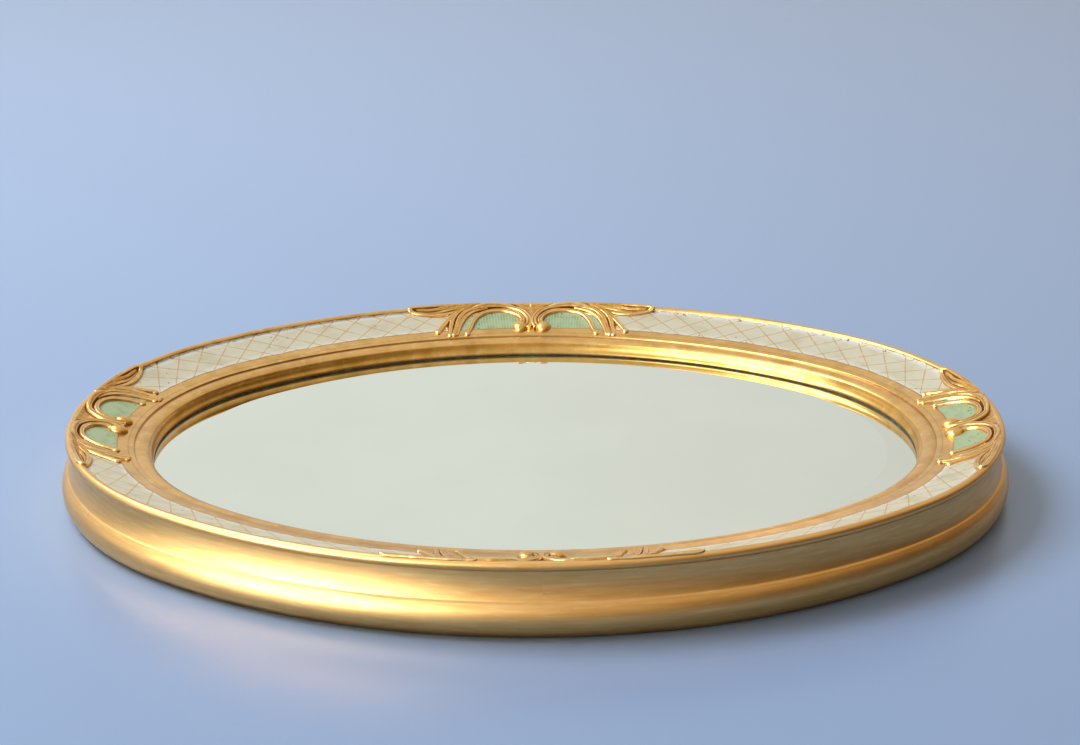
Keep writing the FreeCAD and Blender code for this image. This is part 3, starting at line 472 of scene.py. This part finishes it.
    # the outer leaf is rougher than the inner, as far on the way to paint as satin
    satin = (gold["outerRoughness"] - gold["roughness"]) / (gold["paintRoughness"] - gold["roughness"])
    dull = addNode(tree, "ShaderNodeMath", {0: outer, 1: satin}, operation="MULTIPLY")
    dull = addNode(tree, "ShaderNodeMath", {0: dull, 1: painted}, operation="MAXIMUM")
    level = {"Value": dull, "To Min": gold["roughness"], "To Max": gold["paintRoughness"]}
    rough = addNode(tree, "ShaderNodeMapRange", level)
    shade(tree, {"Base Color": colour, "Metallic": metal, "Roughness": rough})
    return material


# oil-gilt poplar: satin leaf on the bead that shows, bare matt wood at the back and in the rabbet
def baseGilding():
    material, tree = newMaterial("giltPoplarBase")
    run, _, over = mapPlace(tree, "run")
    start, end = runTo(baseLine, (ledgeAcross, baseHeight)), runTo(baseLine, (footAcross, 0))
    gilt = strip(tree, over, start - 3, end + 0.4, 1.0)
    grain = addNode(tree, "ShaderNodeVectorMath", {0: run, 1: wood["stretch"]}, operation="MULTIPLY")
    bare = coat(tree, sRgb(wood["pale"]), sRgb(wood["dark"]), patches(tree, grain, *wood["grain"]))
    brushed = addNode(tree, "ShaderNodeVectorMath", {0: run, 1: gold["brushing"]}, operation="MULTIPLY")
    leaf = goldColour(tree, brushed, "outerLeaf", "outerWorn")
    # dust and rubbing have dulled the foot of the bead, and painted shade darkens it where it meets the floor
    footDustAndShade = strip(tree, over, end - gold["footDustAndShadeWidth"], end + 4, 3.0)
    leaf = coat(tree, leaf, sRgb(gold["patina"]), footDustAndShade, gold["footDustAndShadeShare"])
    level = {"Value": gilt, "To Min": wood["roughness"], "To Max": gold["outerRoughness"]}
    rough = addNode(tree, "ShaderNodeMapRange", level)
    shade(tree, {"Base Color": coat(tree, bare, leaf, gilt), "Metallic": gilt, "Roughness": rough})
    return material


# composition ornament, pressed in a mould and gilt: a painted highlight of pale leaf on the ridges, dark matt
# glaze in the hollows
def castingGilding():
    material, tree = newMaterial("giltComposition")
    hollow = addNode(tree, "ShaderNodeAttribute", attribute_name="hollow").outputs["Fac"]
    level = {"Value": hollow, "From Min": 0.48, "From Max": 0.66, "To Max": gold["glazeShare"]}
    deep = addNode(tree, "ShaderNodeMapRange", level)
    # a painted highlight: pale leaf on the ridges
    raised = addNode(tree, "ShaderNodeMapRange", {"Value": hollow, "From Min": 0.46, "From Max": 0.30})
    colour = coat(tree, goldColour(tree, objectPlace(tree), "castingLeaf"), sRgb(gold["castingGlaze"]), deep)
    colour = coat(tree, colour, sRgb(gold["leafPale"]), raised, gold["ridgeHighlightShare"])
    level = {"Value": deep, "To Min": gold["roughness"], "To Max": gold["glazeRoughness"]}
    rough = addNode(tree, "ShaderNodeMapRange", level)
    shade(tree, {"Base Color": colour, "Metallic": 1.0, "Roughness": rough})
    return material


# a new Geometry Nodes tree with its named inputs and one output
def newTree(name, given, made):
    tree = bpy.data.node_groups.new(name, "GeometryNodeTree")
    for socket, kind in given.items():
        tree.interface.new_socket(socket, in_out="INPUT", socket_type="NodeSocket" + kind)
    tree.interface.new_socket(made, in_out="OUTPUT", socket_type="NodeSocketGeometry")
    return tree, addNode(tree, "NodeGroupInput").outputs


# ends a tree with Realize Instances and Set Material
def endTree(tree, geometry, finish):
    real = addNode(tree, "GeometryNodeRealizeInstances", {0: geometry})
    done = addNode(tree, "GeometryNodeSetMaterial", {"Geometry": real, "Material": finish})
    addNode(tree, "NodeGroupOutput", {0: done})
    return tree


# sweeps a section along a path, uneven as by hand, and keeps how far along and across each corner is
def sweepTree():
    tree, given = newTree("sweptMoulding", {"Path": "Geometry", "Section": "Object", "Bump Depth": "Float",
                                            "Bump Spacing": "Float", "Finish": "Material"}, "Moulding")
    section = addNode(tree, "GeometryNodeObjectInfo", {"Object": given["Section"]})
    spline = addNode(tree, "GeometryNodeSplineParameter")
    captured = []
    for source in (given["Path"], section.outputs["Geometry"]):
        capture = tree.nodes.new("GeometryNodeCaptureAttribute")
        capture.capture_items.new("FLOAT", "run")
        tree.links.new(source, capture.inputs["Geometry"])
        tree.links.new(spline.outputs["Length"], capture.inputs["run"])
        captured.append(capture)
    swept = addNode(tree, "GeometryNodeCurveToMesh", {"Curve": captured[0].outputs["Geometry"],
                    "Profile Curve": captured[1].outputs["Geometry"], "Fill Caps": True})
    lengths = {axis: capture.outputs["run"] for axis, capture in enumerate(captured)}
    runs = addNode(tree, "ShaderNodeCombineXYZ", lengths)
    stored = {"Geometry": swept, "Name": "run", "Value": runs}
    mapped = addNode(tree, "GeometryNodeStoreNamedAttribute", stored, data_type="FLOAT2", domain="CORNER")
    density = addNode(tree, "ShaderNodeMath", {0: 1.0, 1: given["Bump Spacing"]}, operation="DIVIDE")
    noise = addNode(tree, "ShaderNodeTexNoise", {"Scale": density, "Detail": 3})
    level = addNode(tree, "ShaderNodeMath", {0: noise, 1: 0.5}, operation="SUBTRACT")
    depth = addNode(tree, "ShaderNodeMath", {0: level, 1: given["Bump Depth"]}, operation="MULTIPLY")
    normal = addNode(tree, "GeometryNodeInputNormal")
    shift = addNode(tree, "ShaderNodeVectorMath", {0: normal, "Scale": depth}, operation="SCALE")
    moved = addNode(tree, "GeometryNodeSetPosition", {"Geometry": mapped, "Offset": shift})
    return endTree(tree, moved, given["Finish"])


# the oval's line at pathAcross as a Bezier curve, whose ends are square to it
def ovalPath(name, fromDegrees, toDegrees):
    joint = oval["jointAngle"]
    joints = (-joint, joint, 180 - joint, 180 + joint, 360 - joint)
    joints = [degrees for degrees in joints if fromDegrees < degrees < toDegrees]
    steps = []
    for low, high in zip([fromDegrees] + joints, joints + [toDegrees]):
        count = math.ceil((high - low) / oval["degreesPerKnot"])
        turns = [low + (high - low) * i / count for i in range(count + 1)]
        steps += zip(turns, turns[1:])
    data = bpy.data.curves.new(name, "CURVE")
    data.dimensions = "3D"
    data.twist_mode = "Z_UP"
    data.resolution_u = 16
    spline = data.splines.new("BEZIER")
    spline.bezier_points.add(len(steps))
    knots = spline.bezier_points
    for index, (low, high) in enumerate(steps):
        x, y, sight = arcAt((low + high) / 2)
        radius = sight + oval["pathAcross"]
        reach = radius * 4 / 3 * math.tan(math.radians(high - low) / 4)
        for degrees, side, knot in ((low, 1, knots[index]), (high, -1, knots[index + 1])):
            turn = math.radians(degrees)
            place = Vector((x + radius * math.cos(turn), y + radius * math.sin(turn), 0))
            handle = place + Vector((-math.sin(turn), math.cos(turn), 0)) * reach * side
            knot.handle_left_type = knot.handle_right_type = "FREE"
            knot.co = place * mm
            setattr(knot, "handle_right" if side > 0 else "handle_left", handle * mm)
    knots[0].handle_left = 2 * knots[0].co - knots[0].handle_right
    knots[-1].handle_right = 2 * knots[-1].co - knots[-1].handle_left
    return link(bpy.data.objects.new(name, data))


def sweep(name, tree, outline, fromDegrees, toDegrees, finish):
    path = ovalPath(name + "Path", fromDegrees, toDegrees)
    places = [((across - oval["pathAcross"]) * mm, -up * mm, 0) for across, up in outline]
    section = polyCurve(name + "Section", [places], True)
    addTree(path, tree, {"Section": section, "Bump Depth": moulding["bumpDepth"] * mm,
                         "Bump Spacing": moulding["bumpSpacing"] * mm, "Finish": finish})
    piece = toMesh(path, name)
    discard(path, section)
    piece.data.set_sharp_from_angle(angle=math.radians(moulding["sharpAngle"]))
    return piece


# keeps how far along the oval each corner is from its nearest cartouche's middle, and the arc's curvature
def measureCartouches(mesh):
    places = np.empty(len(mesh.vertices) * 3)
    mesh.vertices.foreach_get("co", places)
    x, y, _ = places.reshape(-1, 3).T / mm
    faraway = 1e3
    nearest = np.full(len(x), faraway)
    for side, degrees in (("right", 0), ("top", 90), ("left", 180), ("bottom", 270)):
        centreX, centreY, sight = arcAt(degrees)
        axis = math.radians(degrees)
        ahead = (x - centreX) * math.cos(axis) + (y - centreY) * math.sin(axis)
        aside = (y - centreY) * math.cos(axis) - (x - centreX) * math.sin(axis)
        away = np.abs(np.arctan2(aside, ahead) * (sight + oval["pathAcross"]) - offAxis[side])
        nearest = np.minimum(nearest, np.where(ahead > 0, away, faraway))
    atEnd = np.abs(y) < math.tan(jointTurn) * (np.abs(x) - endCentre)
    curvature = 1 / (np.where(atEnd, endSight, sideSight) + oval["pathAcross"])
    corners = np.empty(len(mesh.loops), dtype=int)
    mesh.loops.foreach_get("vertex_index", corners)
    layer = mesh.uv_layers.new(name="cartouche")
    layer.data.foreach_set("uv", (np.stack([nearest[corners], curvature[corners]], axis=1) * mm).ravel())


# the hanger's pocket in mm: a T under the plate and the ring, and a hole for each screw
pocket = {"margin": 1.4, "depth": 5, "plateEnd": 221.9,
          "screwAcross": 214.5, "screwAside": 14, "screwRadius": 1.5}


# raises the draft's flat face on these corners from low to high
def raiseFace(draft, corners, low, high):
    face = draft.faces.new([draft.verts.new((x * mm, y * mm, low * mm)) for x, y in corners])
    for part in bmesh.ops.extrude_face_region(draft, geom=[face])["geom"]:
        if isinstance(part, bmesh.types.BMVert):
            part.co.z = high * mm


# an outline in mm, raised from low to high
def solidFrom(name, outline, low, high):
    draft = bmesh.new()
    raiseFace(draft, outline, low, high)
    bmesh.ops.recalc_face_normals(draft, faces=draft.faces[:])
    data = bpy.data.meshes.new(name)
    draft.to_mesh(data)
    draft.free()
    return link(bpy.data.objects.new(name, data))


def cutPocket(piece):
    name = piece.name
    plate, ring, screws = (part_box("hanger_" + part)[1] for part in ("plate", "ring", "screws"))
    inner, step = halfLength - oval["faceWidth"] - 1, pocket["plateEnd"]
    plateHalf, ringHalf, ringEnd = (size / mm + pocket["margin"] for size in (plate.y, ring.y, ring.x))
    recess = [(inner, -plateHalf), (step, -plateHalf), (step, -ringHalf), (ringEnd, -ringHalf),
              (ringEnd, ringHalf), (step, ringHalf), (step, plateHalf), (inner, plateHalf)]
    cutters = [solidFrom("recess", recess, -1, pocket["depth"])]
    for side in (-1, 1):
        turns = np.linspace(0, 2 * math.pi, 24, endpoint=False)
        rim = [(pocket["screwAcross"] + pocket["screwRadius"] * math.cos(turn),
                side * pocket["screwAside"] + pocket["screwRadius"] * math.sin(turn)) for turn in turns]
        cutters.append(solidFrom("screwHole", rim, pocket["depth"] - 1, screws.z / mm))
    for cutter in cutters:
        cut = piece.modifiers.new(cutter.name, "BOOLEAN")
        cut.object = cutter
        cut.solver = "EXACT"
    carved = toMesh(piece, name + "Carved")
    discard(piece, *cutters)
    carved.name = name
    return carved


tree = sweepTree()
faceFinish, baseFinish, castingFinish = facePaint(), baseGilding(), castingGilding()
for name, start in (("upper_right", 0), ("upper_left", 90), ("lower_left", 180), ("lower_right", 270)):
    piece = sweep("faceMoulding_" + name, tree, faceLine, start, start + 90, faceFinish)
    measureCartouches(piece.data)
    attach(piece, "frame")
    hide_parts("face_segment_" + name)
for name, middle in (("right", 0), ("top", 90), ("left", 180), ("bottom", 270)):
    half = oval["jointAngle"] if middle % 180 == 0 else 90 - oval["jointAngle"]
    piece = sweep("baseMoulding_" + name, tree, baseLine, middle - half, middle + half, baseFinish)
    if name == "right":
        piece = cutPocket(piece)
    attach(piece, "frame")
    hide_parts("back_segment_" + name)
print("mouldings made, outline points", len(faceLine), len(baseLine))


# the castings: modelled flat, as they come from the mould, and bent on to the moulding
casting = {
    "strandHalfWidth": 1.6, "strandHeight": 1.5, "sunk": 1.1,
    "bedLift": 0.25, "leafBedLift": 0.55, "bedSoftness": 1.0,
    # the boss and a strand's foot: half length, half width, height
    "boss": (4.5, 4.9, 3.1), "bossPlace": (7.0, 18.8), "foot": (1.9, 1.9, 1.35),
    "voxel": 0.26, "smoothRounds": 3, "uneven": 0.4, "unevenSpacing": 5, "lineStep": 0.5,
    "hollowRounds": 24, "hollowDepth": 0.9,
    # a strand's section: across in half widths, and up in heights
    "section": ((1, 0.25), (0.78, 0.82), (0.42, 1), (0, 0.84), (-0.42, 1), (-0.78, 0.82), (-1, 0.25)),
    # what is cut from the strands' far ends
    "cuts": {"sides": (0, 0, 0, 0, 0, 0, 0, 0), "ends": (1.5, 6.5, 2.5, 2.0, 4.0, 0, 0, 0)},
}
# strands in mm, along from the middle of the cartouche and across from the sight edge, their widths from
# end to end, and the size of the rounded foot where they end
strands = (
    ([(3.2, 17.0), (1.4, 22.8), (1.9, 27.8), (5.2, 33.8), (10.6, 38.2), (17.2, 40.0), (24.6, 40.4),
      (31.5, 39.2), (37.6, 36.0), (42.3, 30.0), (45.2, 22.5), (48.8, 12.4)], (1.5, 1.15, 1.0, 0.85), 1.0),
    ([(7.0, 18.0), (5.2, 25.0), (6.8, 29.9), (10.6, 33.6), (15.6, 35.6), (21.0, 36.0), (26.4, 34.6),
      (31.5, 30.6), (35.0, 25.0), (37.4, 19.0), (40.2, 12.9)], (1.2, 0.95, 0.9), 1.05),
    ([(25.0, 39.0), (32.4, 36.3), (38.8, 30.6), (43.0, 23.0), (46.8, 12.8)], (0.7, 0.9, 0.75), 0.85),
    ([(28.0, 41.8), (34.8, 40.6), (41.4, 36.4), (46.2, 29.8), (48.8, 22.0), (51.2, 12.4)],
     (0.6, 1.0, 0.8), 0.95),
    ([(37.5, 38.6), (44.4, 34.4), (49.6, 28.2), (53.8, 22.4), (57.8, 17.0)], (0.7, 1.0, 0.9), 1.1),
    ([(31.0, 40.2), (38.6, 39.0), (45.0, 36.0), (51.0, 34.3), (57.6, 34.4), (64.0, 36.2), (68.6, 38.8),
      (69.8, 41.0), (67.4, 42.3), (60.0, 42.2), (50.0, 42.1), (38.0, 42.1), (29.0, 42.0)],
     (0.6, 0.9, 0.8, 0.6), 0),
    ([(34.0, 41.0), (44.0, 39.2), (53.0, 36.9), (60.0, 36.6), (65.0, 38.2)], (0.6, 0.85, 0.45), 0),
    ([(41.0, 41.3), (49.0, 40.2), (57.0, 39.2), (66.0, 40.2)], (0.6, 0.8, 0.45), 0),
)
# the beds between the strands and in the leaf, as outlines in mm
bedLines = {
    "bedLift": [
        (-0.8, 17.6), (-0.8, 41.8), (12, 42.0), (30, 42.4), (50, 42.2), (51, 35.0), (47.5, 34.0), (51, 28.5),
        (54, 24), (52.2, 21), (51.8, 15.0), (46.0, 15.0), (44.2, 18), (40.8, 25), (35.4, 32), (27, 35.4),
        (21, 36.4), (15, 35.4), (9.6, 33), (5.6, 28), (6, 20), (5, 17.6)],
    "leafBedLift": [
        (31, 40.2), (38.6, 39.0), (45.0, 36.0), (51.0, 34.3), (57.6, 34.4), (64, 36.2), (68.4, 38.8),
        (69.4, 41), (67, 42), (58, 42.2), (48, 42.4), (38, 42.4)],
}


# a curve through the points, lineStep apart, less what is cut from its end, with its widths from end to end
def smoothRun(points, widths, cut):
    places = np.array([points[0], *points, points[-1]], dtype=float)
    run = []
    for index in range(1, len(places) - 2):
        before, start, end, after = places[index - 1:index + 3]
        bend = 2 * before - 5 * start + 4 * end - after
        twist = 3 * start - before - 3 * end + after
        count = max(int(np.hypot(*(end - start)) / casting["lineStep"]), 2)
        for t in np.linspace(0, 1, count, endpoint=False):
            run.append(0.5 * (2 * start + (end - before) * t + bend * t ** 2 + twist * t ** 3))
    run.append(places[-1])
    left = np.cumsum(np.hypot(*np.diff(run, axis=0).T)[::-1])[::-1]
    run = run[:int(np.sum(left >= cut)) + 1]
    spread = np.interp(np.linspace(0, 1, len(run)), np.linspace(0, 1, len(widths)), widths)
    return [(x * mm, y * mm, 0) for x, y in run], [float(width) for width in spread]


# sweeps a strand's section along each line, as wide and high as the line's radius there
def strandTree():
    wanted = {"Lines": "Geometry", "Section": "Object", "Finish": "Material"}
    tree, given = newTree("strands", wanted, "Strands")
    section = addNode(tree, "GeometryNodeObjectInfo", {"Object": given["Section"]})
    radius = addNode(tree, "GeometryNodeInputRadius")
    swept = addNode(tree, "GeometryNodeCurveToMesh", {"Curve": given["Lines"],
                    "Profile Curve": section.outputs["Geometry"], "Scale": radius, "Fill Caps": True})
    return endTree(tree, swept, given["Finish"])


# half a cartouche on a flat bed: along in x, across in y, raised in z
def flatCasting(kind):
    wide, tall, sunk = (casting[name] * mm for name in ("strandHalfWidth", "strandHeight", "sunk"))
    outline = [(-wide, sunk, 0), (wide, sunk, 0)]
    outline += [(across * wide, -up * tall, 0) for across, up in casting["section"]]
    section = polyCurve("strandSection", [outline], True)
    cuts = casting["cuts"][kind]
    runs, radii = zip(*(smoothRun(points, widths, cut) for (points, widths, _), cut in zip(strands, cuts)))
    knobs = [([place * mm for place in casting["bossPlace"]], casting["boss"])]
    for run, (_, _, scale) in zip(runs, strands):
        if scale:
            knobs.append((run[-1][:2], [scale * size for size in casting["foot"]]))
    lines = polyCurve("strandLines", runs, False, radii)
    addTree(lines, strandTree(), {"Section": section, "Finish": castingFinish})
    swept = toMesh(lines, "strandMesh")
    draft = bmesh.new()
    draft.from_mesh(swept.data)
    for place, sizes in knobs:
        knob = Matrix.Translation((*place, 0)) @ Matrix.Diagonal((*(half * mm for half in sizes), 1))
        bmesh.ops.create_uvsphere(draft, u_segments=32, v_segments=16, radius=1, matrix=knob)
    for lift, corners in bedLines.items():
        raiseFace(draft, corners, -casting["sunk"], casting[lift])
    bmesh.ops.triangulate(draft, faces=draft.faces[:])
    bmesh.ops.recalc_face_normals(draft, faces=draft.faces[:])
    draft.to_mesh(swept.data)
    draft.free()
    remesh = swept.modifiers.new("pressed", "REMESH")
    remesh.mode = "VOXEL"
    remesh.voxel_size = casting["voxel"] * mm
    clouds = bpy.data.textures.new("uneven", "CLOUDS")
    clouds.noise_scale = casting["unevenSpacing"] * mm
    uneven = swept.modifiers.new("uneven", "DISPLACE")
    uneven.texture = clouds
    uneven.strength = casting["uneven"] * mm
    uneven.mid_level = 0.5
    smooth = swept.modifiers.new("softened", "SMOOTH")
    smooth.factor = 0.5
    smooth.iterations = casting["smoothRounds"]
    flat = toMesh(swept, "flatCasting")
    discard(lines, section, swept)
    return flat


# how far each vertex lies below what is round it: 0.5 is level, and 1 is deep
def hollows(mesh):
    count = len(mesh.vertices)
    places = np.empty(count * 3)
    mesh.vertices.foreach_get("co", places)
    height = places[2::3]
    ends = np.empty(len(mesh.edges) * 2, dtype=int)
    mesh.edges.foreach_get("vertices", ends)
    first, second = ends[::2], ends[1::2]
    around = np.bincount(ends, minlength=count) + 1
    level = height.copy()
    for _ in range(casting["hollowRounds"]):
        beside = np.bincount(first, level[second], count) + np.bincount(second, level[first], count)
        level = (level + beside) / around
    return np.clip(0.5 + (level - height) / mm / casting["hollowDepth"], 0, 1)


# the line that castings are bent to: the face with its corners filled, and how far each point is across
def bedLine():
    crest = [place for place in faceCorners() if place[0] >= quirkAcross and place[1] > quirkHeight]
    line = blurred(divided(zip(crest, crest[1:])), casting["bedSoftness"] / outlineStep, closed=False)
    run = np.concatenate([[0], np.cumsum(np.hypot(*np.diff(line, axis=0).T))])
    # past the frieze, across goes on along the line, over the rim
    last = int(np.argmax(line[:, 0] >= friezeAcross - 1))
    across = np.where(np.arange(len(line)) < last, line[:, 0], line[last, 0] + run - run[last])
    along = np.gradient(line, axis=0)
    normal = np.stack([-along[:, 1], along[:, 0]], axis=1) / np.hypot(*along.T)[:, None]
    return across, line, normal


# a copy of the flat casting, bent on to the moulding at one end of an axis
def bend(flat, name, degrees, aside, hand, bed, hollow):
    across, line, normal = bed
    mesh = flat.data.copy()
    places = np.empty(len(mesh.vertices) * 3)
    mesh.vertices.foreach_get("co", places)
    along, over, lift = places.reshape(-1, 3).T / mm
    out, up = (np.interp(over, across, line[:, i]) + lift * np.interp(over, across, normal[:, i])
               for i in (0, 1))
    x, y, sight = arcAt(degrees)
    turn = math.radians(degrees) + (aside + hand * along) / (sight + oval["pathAcross"])
    bent = np.stack([x + (sight + out) * np.cos(turn), y + (sight + out) * np.sin(turn), up], axis=1) * mm
    mesh.vertices.foreach_set("co", bent.ravel())
    if hand > 0:
        mesh.flip_normals()
    mesh.attributes.new("hollow", "FLOAT", "POINT").data.foreach_set("value", hollow)
    mesh.shade_smooth()
    return link(bpy.data.objects.new(name, mesh))


flats = {kind: flatCasting(kind) for kind in casting["cuts"]}
depths = {kind: hollows(flat.data) for kind, flat in flats.items()}
bed = bedLine()
for side, degrees, onward, back in (("right", 0, "upper", "lower"), ("top", 90, "left", "right"),
                                    ("left", 180, "lower", "upper"), ("bottom", 270, "right", "left")):
    kind = "ends" if degrees % 180 == 0 else "sides"
    for half, hand in ((onward, 1), (back, -1)):
        name = f"{side}_scroll_{half}"
        piece = bend(flats[kind], "casting_" + name, degrees, offAxis[side], hand, bed, depths[kind])
        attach(piece, "frame")
        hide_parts(name)
print("castings made, faces", [len(flat.data.polygons) for flat in flats.values()])
discard(*flats.values())


# a finish of two tones in patches spacing mm apart, drawn out by stretch
def plainFinish(name, hexColour, hexOther, roughness, metallic, spacing, stretch=(1, 1, 1)):
    material, tree = newMaterial(name)
    place = addNode(tree, "ShaderNodeVectorMath", {0: objectPlace(tree), 1: stretch}, operation="MULTIPLY")
    colour = coat(tree, sRgb(hexColour), sRgb(hexOther), patches(tree, place, spacing, 0.35, 0.65))
    shade(tree, {"Base Color": colour, "Metallic": metallic, "Roughness": roughness})
    return material


# the glass and the back: two tones, roughness, metallic, spacing in mm and stretch
finishes = {
    # float glass silvered on its back: a clear reflection, a little green
    "mirror_glass": plainFinish("silveredGlass", "#DFE5DB", "#DCE2D8", 0.015, 1.0, 60),
    # grey pulp card
    "backing_card": plainFinish("pulpCard", "#9A8F7E", "#857A69", 0.9, 0.0, 1.5),
    # thin poplar board, its grain along the oval
    "backing_board": plainFinish("poplarBoard", "#C9A878", "#A98455", 0.7, 0.0, 3.0, (0.05, 1, 1)),
    # turned beech
    "glass_slips": plainFinish("beech", "#D2AE82", "#BC946A", 0.6, 0.0, 1.5, (1, 1, 0.2)),
    # cut steel, browned by age
    "backing_sprigs": plainFinish("cutSteel", "#8A8580", "#6A5548", 0.45, 1.0, 2.0),
    # rolled brass, tarnished
    "hanger_plate": plainFinish("brass", "#C9A24E", "#A47D35", 0.32, 1.0, 5.0),
}
finishes["face_joint_dowels"] = finishes["back_joint_dowels"] = finishes["glass_slips"]
finishes["hanger_ring"] = finishes["hanger_plate"]
finishes["hanger_screws"] = finishes["backing_sprigs"]
for name, finish in finishes.items():
    node = frame["nodes"][name]
    for part in [each for each in (node, *node.children_recursive) if each.type == "MESH"]:
        if not part.material_slots:
            part.data.materials.append(finish)
        for materialSlot in part.material_slots:
            materialSlot.material = finish
print("finishes given to", len(finishes), "nodes")


# camera: its lens in pixels of a frame frameWidth wide, where it aims in mm, and its angles in degrees
camera = {"lensPixels": 2300, "frameWidth": 1080, "sensorWidth": 36, "nearest": 50, "tilt": 19.319,
          "distance": 1367.57, "roll": -0.121, "aimX": 2.22, "aimY": 168.72, "turn": 0.922}
tilt = math.radians(camera["tilt"])
lens = bpy.data.cameras.new("camera")
lens.sensor_width = camera["sensorWidth"]
lens.lens = camera["lensPixels"] * camera["sensorWidth"] / camera["frameWidth"]
lens.clip_start = camera["nearest"] * mm
eye = link(bpy.data.objects.new("camera", lens))
rise, fall = math.sin(tilt), math.cos(tilt)
station = Vector((camera["aimX"], camera["aimY"] - camera["distance"] * fall, camera["distance"] * rise))
stand = Matrix.Translation(station * mm)
facing = Matrix(((1, 0, 0), (0, rise, -fall), (0, fall, rise))).to_4x4()
roll = Matrix.Rotation(math.radians(camera["roll"]), 4, "Z")
eye.matrix_world = Matrix.Rotation(math.radians(-camera["turn"]), 4, "Z") @ stand @ facing @ roll
bpy.context.scene.camera = eye

# a plain pale floor, just under the frame, in metres
ground = {"tone": "#97B2DA", "roughness": 0.3, "height": -0.1 * mm,
          "corners": ((-4, -4), (4, -4), (4, 6), (-4, 6))}
floorMaterial, floorTree = newMaterial("floor")
shade(floorTree, {"Base Color": sRgb(ground["tone"]), "Roughness": ground["roughness"]})
floorMesh = bpy.data.meshes.new("floor")
floorMesh.from_pydata([(x, y, ground["height"]) for x, y in ground["corners"]], [], [(0, 1, 2, 3)])
floorMesh.materials.append(floorMaterial)
floor = link(bpy.data.objects.new("floor", floorMesh))

# the room, from its dark end on the right to its pale wall on the left, and a bright window on the left at
# the front, which shows in gloss only; matt surfaces take less light from the room than its tones would give
room = {"paleSide": (-0.75, 0.2, 0.45), "darkest": -0.7, "palest": 0.5, "mattShare": 0.42,
        "windowSide": (-0.72, -0.61, 0.33), "windowEdge": 0.87, "windowMiddle": 0.96, "windowStrength": 9.0,
        "tones": ((0, "#4C4133"), (0.2, "#937A58"), (0.40, "#DCC69A"), (0.66, "#E2DDD8"), (0.88, "#F2F2EE"))}
world = bpy.data.worlds.new("world")
world.use_nodes = True
sky = world.node_tree
outward = addNode(sky, "ShaderNodeTexCoord").outputs["Generated"]
paleness = addNode(sky, "ShaderNodeVectorMath", {0: outward, 1: room["paleSide"]}, operation="DOT_PRODUCT")
level = {"Value": paleness.outputs["Value"], "From Min": room["darkest"], "From Max": room["palest"]}
tones = addNode(sky, "ShaderNodeValToRGB", {"Fac": addNode(sky, "ShaderNodeMapRange", level)})
for position, tone in room["tones"]:
    stop = tones.color_ramp.elements.new(position) if position else tones.color_ramp.elements[0]
    stop.color = sRgb(tone)
tones.color_ramp.elements.remove(tones.color_ramp.elements[-1])
rays = addNode(sky, "ShaderNodeLightPath").outputs
seen, gloss = rays["Is Camera Ray"], rays["Is Glossy Ray"]
shown = addNode(sky, "ShaderNodeMath", {0: seen, 1: gloss}, operation="MAXIMUM")
shown = addNode(sky, "ShaderNodeMath", {0: shown, 1: rays["Is Transmission Ray"]}, operation="MAXIMUM")
strength = addNode(sky, "ShaderNodeMapRange", {"Value": shown, "To Min": room["mattShare"]})
nearness = addNode(sky, "ShaderNodeVectorMath", {0: outward, 1: room["windowSide"]}, operation="DOT_PRODUCT")
level = {"Value": nearness.outputs["Value"], "From Min": room["windowEdge"],
         "From Max": room["windowMiddle"], "To Min": 1.0, "To Max": room["windowStrength"]}
bright = addNode(sky, "ShaderNodeMix", {0: gloss, 2: 1.0, 3: addNode(sky, "ShaderNodeMapRange", level)})
strength = addNode(sky, "ShaderNodeMath", {0: strength, 1: bright}, operation="MULTIPLY")
sky.links.new(tones.outputs[0], sky.nodes["Background"].inputs["Color"])
sky.links.new(strength.outputs[0], sky.nodes["Background"].inputs["Strength"])
bpy.context.scene.world = world

# the window that lights the frame, on the left and high up, in metres
window = {"place": (-1.4, 0.5, 1.9), "aim": (0, 0, 0.02), "size": (1.6, 1.2), "watts": 48, "tone": "#F6F9FF"}
lamp = bpy.data.lights.new("window", "AREA")
lamp.color = sRgb(window["tone"])[:3]
lamp.shape = "RECTANGLE"
lamp.size, lamp.size_y = window["size"]
lamp.energy = window["watts"]
towards = (Vector(window["place"]) - Vector(window["aim"])).to_track_quat("Z", "Y").to_matrix().to_4x4()
link(bpy.data.objects.new("window", lamp)).matrix_world = Matrix.Translation(window["place"]) @ towards
bpy.context.scene.view_settings.view_transform = "Standard"
print("camera, floor, room and window set")
